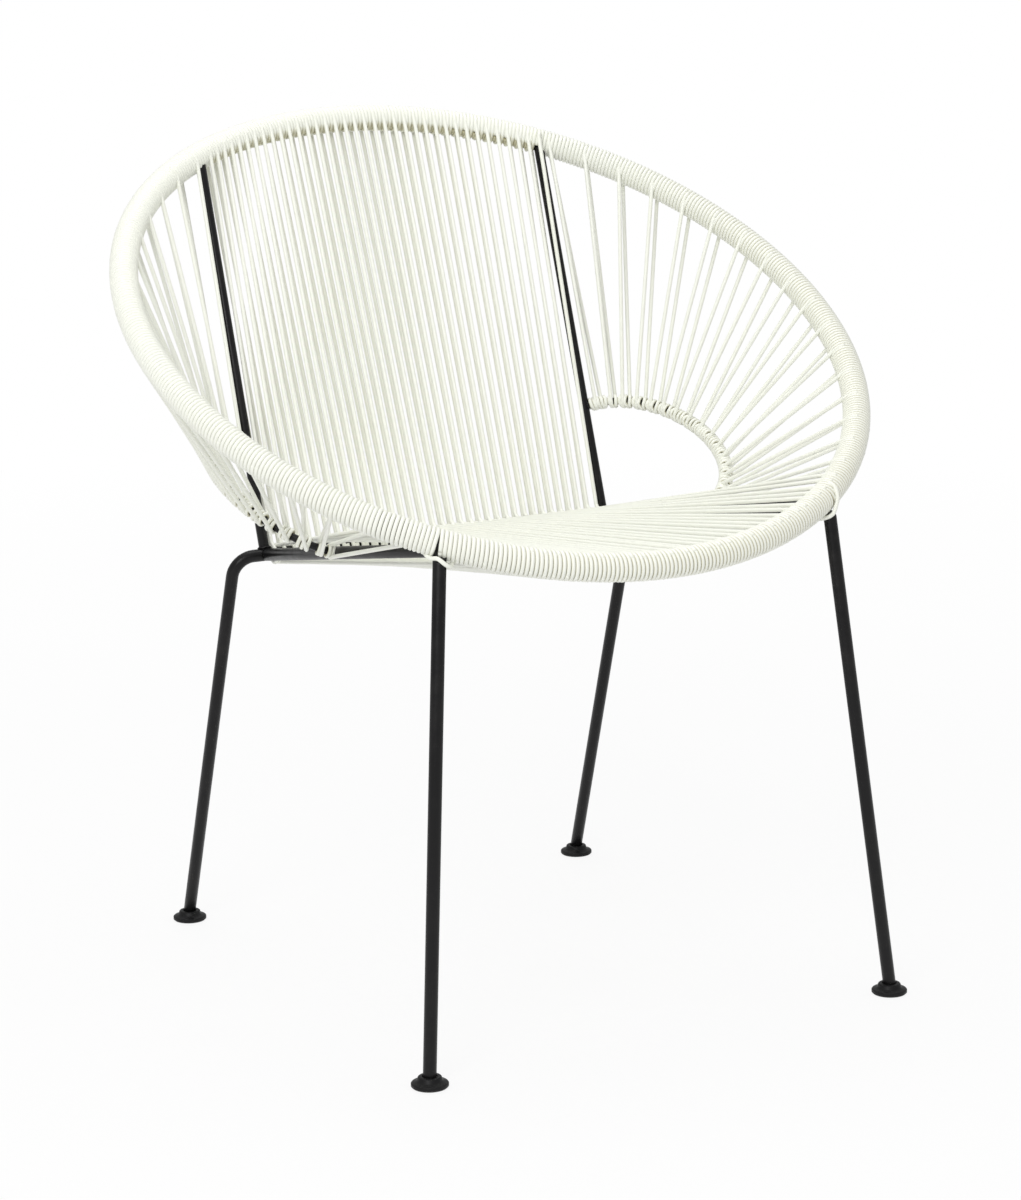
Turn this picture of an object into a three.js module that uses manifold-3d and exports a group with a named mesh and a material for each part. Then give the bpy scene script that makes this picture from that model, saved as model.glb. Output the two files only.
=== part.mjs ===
// Round-backed porch chair: a steel ring held by four legs, with a back, sides and seat strung in cord.
// Millimetres, +Z up, front towards -Y. The origin is on the floor under the middle of the chair.
import * as THREE from "three";
import { mergeVertices } from "three/addons/utils/BufferGeometryUtils.js";
import Module from "manifold-3d";

const wasm = await Module();
wasm.setup();

// Cord and fits
const CORD_DIAMETER = 3.9; // hollow plastic cord
const WOUND_THICKNESS = 3.7; // of the same cord where it is wound tight round a tube
const FIT_GAP = 0.3; // air between touching pieces
const BORE_GAP = 0.75; // air between a faceted winding and the bar that it is wound on

// Rim: a tilted steel ring, wound over its whole length
const RIM_RADIUS = 351.5; // to the middle of the tube
const RIM_TUBE = 19; // diameter
const RIM_TILT = 30.4; // degrees, front low
const RIM_HEIGHT = 610.7; // middle of the ring over the floor
const RIM_Y = 1.1; // middle of the ring behind the origin

// Rear legs and the crossbar between them, one bent tube
const LEG_TUBE = 12;
const REAR_FOOT_X = 225.3; // middle of the rear glides
const REAR_FOOT_Y = 251.2;
const CROSSBAR_Y = 125.1;
const CROSSBAR_HEIGHT = 391;
const REAR_SHOULDER_X = 220; // where the legs' lines meet the crossbar's line
const REAR_BEND_RADIUS = 20;

// Front legs, from the glides to the underside of the rim
const FRONT_FOOT_X = 241.3;
const FRONT_FOOT_Y = -301.1;
const FRONT_LEG_ANGLE = 146.2; // degrees round the rim from the middle of the back
const FRONT_LEG_OUTSET = 7; // the leg's line passes outside the middle of the rim tube

// Side rails, from the crossbar to the front legs' tops
const SIDE_RAIL_TUBE = 12;
const RAIL_DROP = 4.5; // the rail's line runs under the middle of the rim tube

// Uprights, from the crossbar's ends to the rim
const UPRIGHT_ROD = 10;
const UPRIGHT_X = 187.8;
const UPRIGHT_INSET = 12.4; // the rod's line passes in front of the middle of the rim tube
const UPRIGHT_STOP = 4; // the rod ends short of the point nearest to the rim tube's middle

// Arm rings: half rings between an upright and a side rail
const RING_ROD = 7;
const RING_TOP_HEIGHT = 498.6;
const RING_FOOT_Y = -44.3;
const RING_BULGE = 74.5; // from the line between its ends
const RING_TILT = 15.6; // degrees, outer side up

// Glides under the legs
const GLIDE_DIAMETER = 33;
const GLIDE_RIM_HEIGHT = 4.4;
const GLIDE_HEIGHT = 9.5;
const GLIDE_COLLAR_DIAMETER = 21;
const GLIDE_CHAMFER = 1.4;
const GLIDE_FLOOR = 3; // plastic under the end of the leg

// Counts of the strung cords
const BACK_STRANDS = 36; // front layer, one more than the rear layer
const SEAT_STRANDS = 37; // upper layer
const UNDER_STRANDS = 36; // lower layer
const SIDE_PAIRS = 17; // from each arm ring to the rim

// Places of the strung cords
const BACK_EDGE_MARGIN = 3.5; // from an upright to the nearest strand
const SEAT_EDGE_MARGIN = 9; // from an upright's line to the end of the cords on the crossbar
const SEAT_RIM_ANGLE = 141.5; // degrees round the rim, outermost strand of the seat
const UNDER_RIM_ANGLE = 151; // degrees, outermost strand of the layer below
const SIDE_RIM_FROM = 34.6; // degrees, first pair
const SIDE_RIM_TO = 136.8; // degrees, last pair
const SIDE_REAR_LEAD = 0.5; // degrees that the rear strand of a pair is ahead of the front one
const SIDE_RING_FIRST = 8; // degrees round the arm ring, the pair beside the upright
const SIDE_RING_FROM = 12.8; // degrees, the pair after it
const SIDE_RING_TO = 160; // degrees, last pair
const STRAND_ROOT = 10; // faces of a back strand that start on the crossbar end here
const PAIR_SPREAD_SHARE = 1.6; // from strand to strand of a pair at its hitch, of the cord's diameter

// Where round the crossbar the cords leave it: 0 is the rear, 90 degrees the top
const BACK_FRONT_LEAVES = 84;
const BACK_REAR_LEAVES = -18;
const SEAT_LEAVES = 120;
const UNDER_LEAVES = 214;

// Where round the crossbar the turns of one layer of cord end and those of the next begin
const TURNS_SPLIT_TOP = 100;
const TURNS_SPLIT_FRONT = 180;
const TURNS_SPLIT_UNDER = 247;
const TURNS_SPLIT_GAP = 3;

// Ties: an extra open turn round the winding of the rim beside each front leg
const TIE_OFFSET = 13; // from the leg's line, along the rim
const TIE_FROM = 205; // degrees round the rim tube: 0 is outward, 90 the upper face
const TIE_TO = 350;

// Steps of the facets
const TUBE_SIDES = 12;
const RIM_SIDES = 10;
const RIM_STEPS = 72;
const WOUND_SIDES = 8;
const RING_WOUND_SIDES = 7;
const BEND_STEPS = 6;
const GLIDE_SIDES = 18;
const TIE_STEPS = 8;
const TURN_STEP = 30; // degrees round the crossbar
const WINDING_STEP = 5; // degrees along the rim
const STRAND_SIDES = 4;
const STRAND_CORNER_SHARE = 1.1; // a square strand's corner, of the cord's radius
const VALLEY_SHARE = 0.72; // a winding's groove, of its thickness

const rad = THREE.MathUtils.degToRad;
const vec = (x, y, z) => new THREE.Vector3(x, y, z);
const sides = [
  { name: "right", sign: 1 },
  { name: "left", sign: -1 },
];

const cordRadius = CORD_DIAMETER / 2;
const rimTubeRadius = RIM_TUBE / 2;
const legRadius = LEG_TUBE / 2;
const rodRadius = UPRIGHT_ROD / 2;
const ringRadius = RING_ROD / 2;

const material = (color, roughness, metalness) =>
  new THREE.MeshStandardMaterial({ color, roughness, metalness });
const steelBlack = material(0x1a1a1c, 0.42, 0.35);
const plasticBlack = material(0x141415, 0.5, 0);
const cordWhite = material(0xf1f2e6, 0.48, 0);

// Turns a closed geometry into a solid that can be cut and joined.
function solid(geometry) {
  const bare = geometry.index ? geometry.toNonIndexed() : geometry.clone();
  bare.deleteAttribute("normal");
  bare.deleteAttribute("uv");
  const merged = mergeVertices(bare, 1e-4);
  return new wasm.Manifold(
    new wasm.Mesh({
      numProp: 3,
      vertProperties: merged.attributes.position.array,
      triVerts: new Uint32Array(merged.index.array),
    }),
  );
}

// Gives a solid's faces back as a geometry.
function geometryOf(body) {
  const made = body.getMesh();
  const positions = new Float32Array(made.numVert * 3);
  for (let i = 0; i < made.numVert; i++)
    positions.set(
      made.vertProperties.subarray(i * made.numProp, i * made.numProp + 3),
      i * 3,
    );
  const geometry = new THREE.BufferGeometry()
    .setAttribute("position", new THREE.BufferAttribute(positions, 3))
    .setIndex(new THREE.BufferAttribute(made.triVerts.slice(), 1))
    .toNonIndexed();
  geometry.computeVertexNormals();
  return geometry;
}

const evenly = (from, to, count) =>
  Array.from({ length: count + 1 }, (_, i) => from + ((to - from) * i) / count);
const joined = (bodies) => bodies.reduce((whole, body) => whole.add(body));
const without = (body, cutters) =>
  cutters.reduce((rest, cutter) => rest.subtract(cutter), body);

// The same shape on the other side of the chair.
function onSide(geometry, sign) {
  if (sign > 0) return geometry;
  const turned = geometry.index ? geometry.toNonIndexed() : geometry.clone();
  const places = turned.attributes.position;
  for (let i = 0; i < places.count; i += 3) {
    const corners = [0, 2, 1].map((k) => vec(0, 0, 0).fromBufferAttribute(places, i + k));
    corners.forEach((corner, k) => places.setXYZ(i + k, -corner.x, corner.y, corner.z));
  }
  turned.computeVertexNormals();
  return turned;
}

// A centreline that has its stations exactly at the given points.
class StationedLine extends THREE.Curve {
  constructor(points) {
    super();
    this.points = points;
  }
  getPointAt(share) {
    return this.points[Math.round(share * (this.points.length - 1))].clone();
  }
  getTangentAt(share) {
    const last = this.points.length - 1;
    const i = Math.round(share * last);
    const before = this.points[Math.max(i - 1, 0)];
    const after = this.points[Math.min(i + 1, last)];
    const here = this.points[i];
    const into = here.clone().sub(before).normalize();
    const out = after.clone().sub(here).normalize();
    return into.add(out).normalize();
  }
}

function roundSection(radius, count) {
  const corners = [];
  for (let i = 0; i < count; i++) {
    const turn = (2 * Math.PI * (i + 0.5)) / count;
    corners.push(new THREE.Vector2(radius * Math.cos(turn), radius * Math.sin(turn)));
  }
  return new THREE.Shape(corners);
}

// A round bar along points.
function bar(points, radius, count = TUBE_SIDES) {
  return new THREE.ExtrudeGeometry(roundSection(radius, count), {
    steps: points.length - 1,
    bevelEnabled: false,
    extrudePath: new StationedLine(points),
  });
}

// A line through corners, with round bends in place of the inner corners.
function bentLine(corners, bendRadius) {
  const points = [corners[0]];
  for (let i = 1; i < corners.length - 1; i++) {
    const back = corners[i - 1].clone().sub(corners[i]).normalize();
    const on = corners[i + 1].clone().sub(corners[i]).normalize();
    const half = back.angleTo(on) / 2;
    const middle = back
      .clone()
      .add(on)
      .normalize()
      .multiplyScalar(bendRadius / Math.sin(half))
      .add(corners[i]);
    const first = corners[i].clone().addScaledVector(back, bendRadius / Math.tan(half));
    const arm = first.sub(middle);
    const axis = back.clone().cross(on).normalize();
    const sweepAngle = -(Math.PI - 2 * half);
    for (let step = 0; step <= BEND_STEPS; step++) {
      const turned = arm.clone().applyAxisAngle(axis, (sweepAngle * step) / BEND_STEPS);
      points.push(turned.add(middle));
    }
  }
  points.push(corners[corners.length - 1]);
  return points;
}

// The rim's middle line: angle 0 is the middle of the back, and it grows towards +X.
const rimMiddle = vec(0, RIM_Y, RIM_HEIGHT);
const rimBackward = vec(0, Math.cos(rad(RIM_TILT)), Math.sin(rad(RIM_TILT)));
const rimSideways = vec(1, 0, 0);
const rimNormal = rimSideways.clone().cross(rimBackward);
function rimOutward(angle) {
  return rimBackward
    .clone()
    .multiplyScalar(Math.cos(angle))
    .addScaledVector(rimSideways, Math.sin(angle));
}
const rimPoint = (angle) => rimOutward(angle).multiplyScalar(RIM_RADIUS).add(rimMiddle);
const rimTangent = (angle) => rimOutward(angle + Math.PI / 2);

// A solid ring along the rim, of any thickness.
function rimRing(radius, count, steps) {
  const torus = new THREE.TorusGeometry(RIM_RADIUS, radius, count, steps);
  const stand = new THREE.Matrix4().makeBasis(rimSideways, rimBackward, rimNormal);
  return torus.applyMatrix4(stand.setPosition(rimMiddle));
}
const rimSaddle = solid(rimRing(rimTubeRadius + FIT_GAP * 2, TUBE_SIDES, RIM_STEPS));

// Rear legs and crossbar
const rearFootTop = (sign) => vec(sign * REAR_FOOT_X, REAR_FOOT_Y, GLIDE_HEIGHT);
const rearShoulder = (sign) => vec(sign * REAR_SHOULDER_X, CROSSBAR_Y, CROSSBAR_HEIGHT);
const legEnd = (foot, top) => {
  const rise = top.clone().sub(foot);
  return foot.clone().addScaledVector(rise, -(GLIDE_HEIGHT - GLIDE_FLOOR - FIT_GAP) / rise.z);
};
function rearFrameLine() {
  const [right, left] = sides.map(({ sign }) => ({
    end: legEnd(rearFootTop(sign), rearShoulder(sign)),
    shoulder: rearShoulder(sign),
  }));
  return bentLine([right.end, right.shoulder, left.shoulder, left.end], REAR_BEND_RADIUS);
}
const rearFrame = bar(rearFrameLine(), legRadius);
const rearFrameClear = solid(bar(rearFrameLine(), legRadius + FIT_GAP));

// Front legs, right side
const frontFootTop = vec(FRONT_FOOT_X, FRONT_FOOT_Y, GLIDE_HEIGHT);
const frontLegAngle = rad(FRONT_LEG_ANGLE);
const legOutward = rimTangent(frontLegAngle).cross(vec(0, 0, 1)).normalize();
if (legOutward.y > 0) legOutward.negate();
const frontLegTop = rimPoint(frontLegAngle).addScaledVector(legOutward, FRONT_LEG_OUTSET);
const frontLegEnd = legEnd(frontFootTop, frontLegTop);
const frontLegBody = solid(bar([frontLegEnd, frontLegTop], legRadius)).subtract(rimSaddle);
const frontLegClear = solid(bar([frontLegEnd, frontLegTop], legRadius + FIT_GAP));

// Side rails, right side
const railRear = vec(UPRIGHT_X, CROSSBAR_Y, CROSSBAR_HEIGHT);
const railFront = frontLegTop.clone().sub(vec(0, 0, RAIL_DROP));
const railAt = (y) => {
  const share = (y - railRear.y) / (railFront.y - railRear.y);
  return railRear.clone().lerp(railFront, share);
};
const railRadius = SIDE_RAIL_TUBE / 2;
const railBody = without(solid(bar([railRear, railFront], railRadius)), [
  rimSaddle,
  frontLegClear,
  rearFrameClear,
]);
const railClear = solid(bar([railRear, railFront], railRadius + FIT_GAP));

// Uprights, right side
const uprightAngle = Math.asin(UPRIGHT_X / RIM_RADIUS);
const uprightFoot = vec(UPRIGHT_X, CROSSBAR_Y, CROSSBAR_HEIGHT);
const uprightRise = rimPoint(uprightAngle).sub(uprightFoot).normalize();
const uprightForward = uprightRise.clone().cross(rimSideways).negate();
const uprightTop = rimPoint(uprightAngle).addScaledVector(uprightForward, UPRIGHT_INSET);
const uprightDirection = uprightTop.clone().sub(uprightFoot).normalize();
const uprightEnd = uprightTop.clone().addScaledVector(uprightDirection, -UPRIGHT_STOP);
const uprightBody = without(solid(bar([uprightFoot, uprightEnd], rodRadius)), [
  rimSaddle,
  rearFrameClear,
  railClear,
]);
const uprightClear = solid(bar([uprightFoot, uprightEnd], rodRadius + FIT_GAP));

// Arm rings, right side: half an ellipse whose ends sit on the upright and on the side rail
const ringTop = uprightFoot
  .clone()
  .addScaledVector(uprightDirection, (RING_TOP_HEIGHT - uprightFoot.z) / uprightDirection.z);
const ringFoot = railAt(RING_FOOT_Y);
const ringMiddle = ringTop.clone().lerp(ringFoot, 1 / 2);
const ringChord = ringTop.clone().sub(ringFoot);
const ringAlong = ringChord.clone().normalize();
const ringLevel = vec(1, 0, 0).addScaledVector(ringAlong, -ringAlong.x).normalize();
const ringOut = ringLevel.applyAxisAngle(ringAlong, -rad(RING_TILT));
if (ringOut.z < 0) ringOut.reflect(vec(0, 0, 1));
const ringNormal = ringOut.clone().cross(ringAlong).normalize();
const ringHalf = ringChord.length() / 2;
function ringPoint(angle, outset = 0) {
  return ringMiddle
    .clone()
    .addScaledVector(ringAlong, (ringHalf + outset) * Math.cos(angle))
    .addScaledVector(ringOut, (RING_BULGE + outset) * Math.sin(angle));
}
function ringTangent(angle) {
  return ringAlong
    .clone()
    .multiplyScalar(-ringHalf * Math.sin(angle))
    .addScaledVector(ringOut, RING_BULGE * Math.cos(angle))
    .normalize();
}
// The winding on the ring is in groups of turns, one to each pair of side cords
const evenHitches = evenly(rad(SIDE_RING_FROM), rad(SIDE_RING_TO), SIDE_PAIRS - 2);
const hitchAngles = [rad(SIDE_RING_FIRST), ...evenHitches];
const halfGroup = (evenHitches[1] - evenHitches[0]) / 2;
const groupEnds = hitchAngles.map((angle) => angle + halfGroup);
const windingFrom = hitchAngles[0] / 2;
const windingTo = groupEnds[SIDE_PAIRS - 1];
const ringStations = [windingFrom, ...groupEnds];
const ringLine = [0, ...ringStations, (windingTo + Math.PI) / 2, Math.PI];
const ringBody = without(solid(bar(ringLine.map((angle) => ringPoint(angle)), ringRadius)), [
  uprightClear,
  railClear,
]);

// A winding on a bar: rings of corners run out along the skin and back along the bore.
function winding(place, skin, bore, boreRadius, sideCount = WOUND_SIDES) {
  const rings = [
    ...skin,
    ...bore.map((at) => ({ at, radius: boreRadius })).reverse(),
  ];
  const positions = [];
  for (const { at, radius } of rings) {
    const { middle, across, up } = place(at);
    for (let i = 0; i < sideCount; i++) {
      const turn = (2 * Math.PI * (i + 0.5)) / sideCount;
      const corner = middle
        .clone()
        .addScaledVector(across, radius * Math.cos(turn))
        .addScaledVector(up, radius * Math.sin(turn));
      positions.push(corner.x, corner.y, corner.z);
    }
  }
  const index = [];
  rings.forEach((_, r) => {
    const here = r * sideCount;
    const next = ((r + 1) % rings.length) * sideCount;
    for (let i = 0; i < sideCount; i++) {
      const j = (i + 1) % sideCount;
      index.push(here + i, here + j, next + j, here + i, next + j, next + i);
    }
  });
  return new THREE.BufferGeometry()
    .setAttribute("position", new THREE.Float32BufferAttribute(positions, 3))
    .setIndex(index);
}

// Stations of a winding in groups of turns, with a groove where each group but the last ends.
function groups(from, ends, crest, groove) {
  const skin = [{ at: from, radius: crest }];
  let start = from;
  for (const end of ends.slice(0, -1)) {
    skin.push({ at: (start + end) / 2, radius: crest });
    skin.push({ at: end, radius: groove });
    start = end;
  }
  skin.push({ at: (start + ends.at(-1)) / 2, radius: crest });
  skin.push({ at: ends.at(-1), radius: crest });
  return skin;
}

// The bore's corners lie outside the bar, so that its flats stay clear of it.
const boreFor = (barRadius, sideCount = WOUND_SIDES) =>
  (barRadius + BORE_GAP / 2) / Math.cos(Math.PI / sideCount);
const crestFor = (barRadius) => barRadius + WOUND_THICKNESS;
const grooveFor = (barRadius) => barRadius + WOUND_THICKNESS * VALLEY_SHARE;

// Rim windings: hundreds of turns, drawn as plain sleeves
const rimWindingPlace = (angle) => ({
  middle: rimPoint(angle),
  across: rimOutward(angle),
  up: rimNormal,
});
function rimWinding(fromAngle, toAngle, cutters) {
  const from = fromAngle + FIT_GAP / RIM_RADIUS;
  const to = toAngle - FIT_GAP / RIM_RADIUS;
  const stations = evenly(from, to, Math.round((to - from) / rad(WINDING_STEP)));
  const skin = stations.map((at) => ({ at, radius: crestFor(rimTubeRadius) }));
  const body = solid(winding(rimWindingPlace, skin, stations, boreFor(rimTubeRadius)));
  return without(body, cutters);
}
const mirrored = (body) => solid(onSide(geometryOf(body), -1));
const uprightClearLeft = mirrored(uprightClear);
const legGap = legRadius + cordRadius;
const legPassage = joined([
  solid(bar([frontLegEnd, frontLegTop], legGap)),
  solid(bar([railRear, railFront], legGap)),
]);
const rimWindingBack = rimWinding(-uprightAngle, uprightAngle, [uprightClear, uprightClearLeft]);
const rimWindingSide = rimWinding(uprightAngle, frontLegAngle, [uprightClear, legPassage]);
const rimWindingFront = rimWinding(frontLegAngle, 2 * Math.PI - frontLegAngle, [
  legPassage,
  mirrored(legPassage),
]);

// Arm ring windings
const ringWindingPlace = (angle) => {
  const tangent = ringTangent(angle);
  return { middle: ringPoint(angle), across: ringNormal.clone().cross(tangent), up: ringNormal };
};
const ringWindingBody = without(
  solid(
    winding(
      ringWindingPlace,
      groups(windingFrom, groupEnds, crestFor(ringRadius), grooveFor(ringRadius)),
      ringStations,
      boreFor(ringRadius, RING_WOUND_SIDES),
      RING_WOUND_SIDES,
    ),
  ),
  [uprightClear, railClear],
);

// Strung cords
const strandCorner = cordRadius * STRAND_CORNER_SHARE;
const strand = (from, to) => solid(bar([from, to], strandCorner, STRAND_SIDES));
// A strand whose first stretch has faces of its own, where it grows out of the turns on the crossbar.
function rootedStrand(from, to) {
  const root = from.clone().lerp(to, STRAND_ROOT / from.distanceTo(to));
  return solid(bar([from, root, to], strandCorner, STRAND_SIDES));
}

// The end of a strand that runs onto the winding of the rim, on the side that facing points to.
// It would touch the tube like a turn of the winding does, and stops where it meets the winding.
function rimLanding(from, angle, facing) {
  const rim = rimPoint(angle);
  const tangent = rimTangent(angle);
  const run = rim.clone().sub(from);
  const off = tangent.clone().cross(run).normalize();
  if (off.dot(facing) < 0) off.negate();
  const offset = rimTubeRadius + WOUND_THICKNESS - cordRadius;
  const touch = rim.addScaledVector(off, offset);
  const direction = touch.clone().sub(from).normalize();
  const clear = crestFor(rimTubeRadius) + FIT_GAP * 2;
  const reach = Math.sqrt(clear ** 2 - (offset - strandCorner) ** 2);
  return touch.addScaledVector(direction, -reach / Math.sin(direction.angleTo(tangent)));
}

// A part of the turns round the crossbar: angle 0 is the rear, and 90 degrees is the top.
const crossbarSpan = UPRIGHT_X - SEAT_EDGE_MARGIN;
const turnRadius = legRadius + FIT_GAP + cordRadius;
const crossbarTurn = (x, angle) =>
  vec(
    x,
    CROSSBAR_Y + turnRadius * Math.cos(angle),
    CROSSBAR_HEIGHT + turnRadius * Math.sin(angle),
  );
function crossbarTurns(fromAngle, toAngle) {
  const stations = evenly(fromAngle, toAngle, Math.round((toAngle - fromAngle) / rad(TURN_STEP)));
  const arc = (flatRadius) => {
    const radius = flatRadius / Math.cos(rad(TURN_STEP) / 2);
    return stations.map(
      (angle) => new THREE.Vector2(radius * Math.cos(angle), radius * Math.sin(angle)),
    );
  };
  const section = new THREE.Shape([
    ...arc(turnRadius + cordRadius),
    ...arc(turnRadius - cordRadius).reverse(),
  ]);
  const along = new THREE.ExtrudeGeometry(section, {
    depth: 2 * crossbarSpan,
    bevelEnabled: false,
  });
  const stand = new THREE.Matrix4().makeBasis(vec(0, 1, 0), vec(0, 0, 1), vec(1, 0, 0));
  return solid(along.applyMatrix4(stand.setPosition(-crossbarSpan, CROSSBAR_Y, CROSSBAR_HEIGHT)));
}

// A layer of strands from the crossbar to the rim, spread evenly along both.
function fan(count, halfWidth, halfAngle, middleAngle, leaves, facing, makeStrand) {
  const strands = [];
  for (let i = 0; i < count; i++) {
    const share = (2 * i) / (count - 1) - 1;
    const from = crossbarTurn(halfWidth * share, rad(leaves));
    strands.push(makeStrand(from, rimLanding(from, middleAngle(halfAngle * share), facing)));
  }
  return strands;
}
const backHalfAngle = uprightAngle - (BACK_EDGE_MARGIN + rodRadius) / RIM_RADIUS;
const backPitchShare = 1 - 1 / BACK_STRANDS;
const strandHalfWidth = crossbarSpan - CORD_DIAMETER;
const backAngle = (angle) => angle;
const frontAngle = (angle) => Math.PI - angle;
const backBody = without(
  joined([
    crossbarTurns(rad(TURNS_SPLIT_UNDER + TURNS_SPLIT_GAP - 360), rad(TURNS_SPLIT_TOP)),
    ...fan(
      BACK_STRANDS,
      strandHalfWidth,
      backHalfAngle,
      backAngle,
      BACK_FRONT_LEAVES,
      vec(0, -1, 0),
      rootedStrand,
    ),
    ...fan(
      BACK_STRANDS - 1,
      strandHalfWidth * backPitchShare,
      backHalfAngle * backPitchShare,
      backAngle,
      BACK_REAR_LEAVES,
      vec(0, 1, 0),
      rootedStrand,
    ),
  ]),
  [rearFrameClear],
);
const seatBody = without(
  joined([
    crossbarTurns(rad(TURNS_SPLIT_TOP + TURNS_SPLIT_GAP), rad(TURNS_SPLIT_FRONT)),
    ...fan(
      SEAT_STRANDS,
      strandHalfWidth,
      Math.PI - rad(SEAT_RIM_ANGLE),
      frontAngle,
      SEAT_LEAVES,
      vec(0, 0, 1),
      strand,
    ),
  ]),
  [rearFrameClear],
);
const underBody = without(
  joined([
    crossbarTurns(rad(TURNS_SPLIT_FRONT + TURNS_SPLIT_GAP), rad(TURNS_SPLIT_UNDER)),
    ...fan(
      UNDER_STRANDS,
      strandHalfWidth,
      Math.PI - rad(UNDER_RIM_ANGLE),
      frontAngle,
      UNDER_LEAVES,
      vec(0, 0, -1),
      strand,
    ),
  ]),
  [rearFrameClear],
);

// Side cords, right side: pairs from a row of hitches along the arm ring's winding to the rim
const hitchOutset = crestFor(ringRadius) + FIT_GAP + cordRadius;
const hitchAt = (angle) => ringPoint(angle, hitchOutset);
function sideCords() {
  const spread = (CORD_DIAMETER * PAIR_SPREAD_SHARE) / RING_BULGE;
  const row = [hitchAngles[0] - spread / 2, ...hitchAngles, hitchAngles.at(-1) + spread / 2];
  const pieces = [solid(bar(row.map(hitchAt), cordRadius, STRAND_SIDES))];
  const rimAngles = evenly(rad(SIDE_RIM_FROM), rad(SIDE_RIM_TO), SIDE_PAIRS - 1);
  rimAngles.forEach((angle, i) => {
    const hitch = hitchAt(hitchAngles[i] - spread / 2);
    const rearHitch = hitchAt(hitchAngles[i] + spread / 2);
    const inward = rimOutward(angle).negate().add(rimNormal);
    const front = rimLanding(hitch, angle, inward);
    const rear = rimLanding(rearHitch, angle + rad(SIDE_REAR_LEAD), inward.clone().negate());
    pieces.push(strand(hitch, front), strand(rearHitch, rear));
  });
  return joined(pieces);
}
const sideBody = sideCords();

// Ties, right side
function tie() {
  const angle = frontLegAngle + TIE_OFFSET / RIM_RADIUS;
  const radius = crestFor(rimTubeRadius) + FIT_GAP * 3 + cordRadius;
  const { middle, across, up } = rimWindingPlace(angle);
  const points = evenly(rad(TIE_FROM), rad(TIE_TO), TIE_STEPS).map((turn) =>
    middle
      .clone()
      .addScaledVector(across, radius * Math.cos(turn))
      .addScaledVector(up, radius * Math.sin(turn)),
  );
  return solid(bar(points, cordRadius, WOUND_SIDES));
}

// Glides, right side
function glide(footTop, hole) {
  const r = GLIDE_DIAMETER / 2;
  const collar = GLIDE_COLLAR_DIAMETER / 2;
  const profile = [
    [0, 0],
    [r - GLIDE_CHAMFER, 0],
    [r, GLIDE_CHAMFER],
    [r, GLIDE_RIM_HEIGHT - GLIDE_CHAMFER],
    [r - GLIDE_CHAMFER, GLIDE_RIM_HEIGHT],
    [collar + GLIDE_CHAMFER, GLIDE_RIM_HEIGHT + GLIDE_CHAMFER],
    [collar, GLIDE_HEIGHT - GLIDE_CHAMFER],
    [collar - GLIDE_CHAMFER, GLIDE_HEIGHT],
    [0, GLIDE_HEIGHT],
  ].map(([x, y]) => new THREE.Vector2(x, y));
  const turned = new THREE.LatheGeometry(profile, GLIDE_SIDES).rotateX(Math.PI / 2);
  turned.translate(footTop.x, footTop.y, 0);
  return solid(turned).subtract(hole);
}
// The hole for a leg is the leg's own line, thicker by the fit and a little longer.
function legHole(foot, top) {
  const end = legEnd(foot, top);
  const rise = top.clone().sub(end).normalize();
  return solid(
    bar(
      [end.clone().addScaledVector(rise, -FIT_GAP), end.addScaledVector(rise, GLIDE_DIAMETER)],
      legRadius + FIT_GAP,
    ),
  );
}

const chair = new THREE.Group();
chair.name = "chair";
function place(name, geometry, finish) {
  const mesh = new THREE.Mesh(geometry, finish);
  mesh.name = name;
  chair.add(mesh);
}

place("rim_tube", rimRing(rimTubeRadius, RIM_SIDES, RIM_STEPS), steelBlack);
place("rear_leg_frame", rearFrame, steelBlack);
place("rim_wrap_back", geometryOf(rimWindingBack), cordWhite);
place("rim_wrap_front", geometryOf(rimWindingFront), cordWhite);
place("back_cords", geometryOf(backBody), cordWhite);
place("seat_cords_upper", geometryOf(seatBody), cordWhite);
place("seat_cords_lower", geometryOf(underBody), cordWhite);
for (const { name, sign } of sides) {
  const put = (piece, body, finish) =>
    place(`${piece}_${name}`, onSide(geometryOf(body), sign), finish);
  put("front_leg", frontLegBody, steelBlack);
  put("side_rail", railBody, steelBlack);
  put("upright", uprightBody, steelBlack);
  put("arm_ring", ringBody, steelBlack);
  put("rim_wrap", rimWindingSide, cordWhite);
  put("arm_ring_wrap", ringWindingBody, cordWhite);
  put("side_cords", sideBody, cordWhite);
  put("rim_tie", tie(), cordWhite);
  const frontHole = legHole(frontFootTop, frontLegTop);
  const rearHole = legHole(rearFootTop(1), rearShoulder(1));
  put("glide_front", glide(frontFootTop, frontHole), plasticBlack);
  put("glide_rear", glide(rearFootTop(1), rearHole), plasticBlack);
}

export default chair;
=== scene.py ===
"""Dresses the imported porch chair: a round steel frame strung and wound in ivory cord."""

import logging
import math
from dataclasses import dataclass, field
from enum import Enum
from typing import Iterable, Sequence

import bpy
import numpy as np
from mathutils import Matrix, Vector


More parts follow.
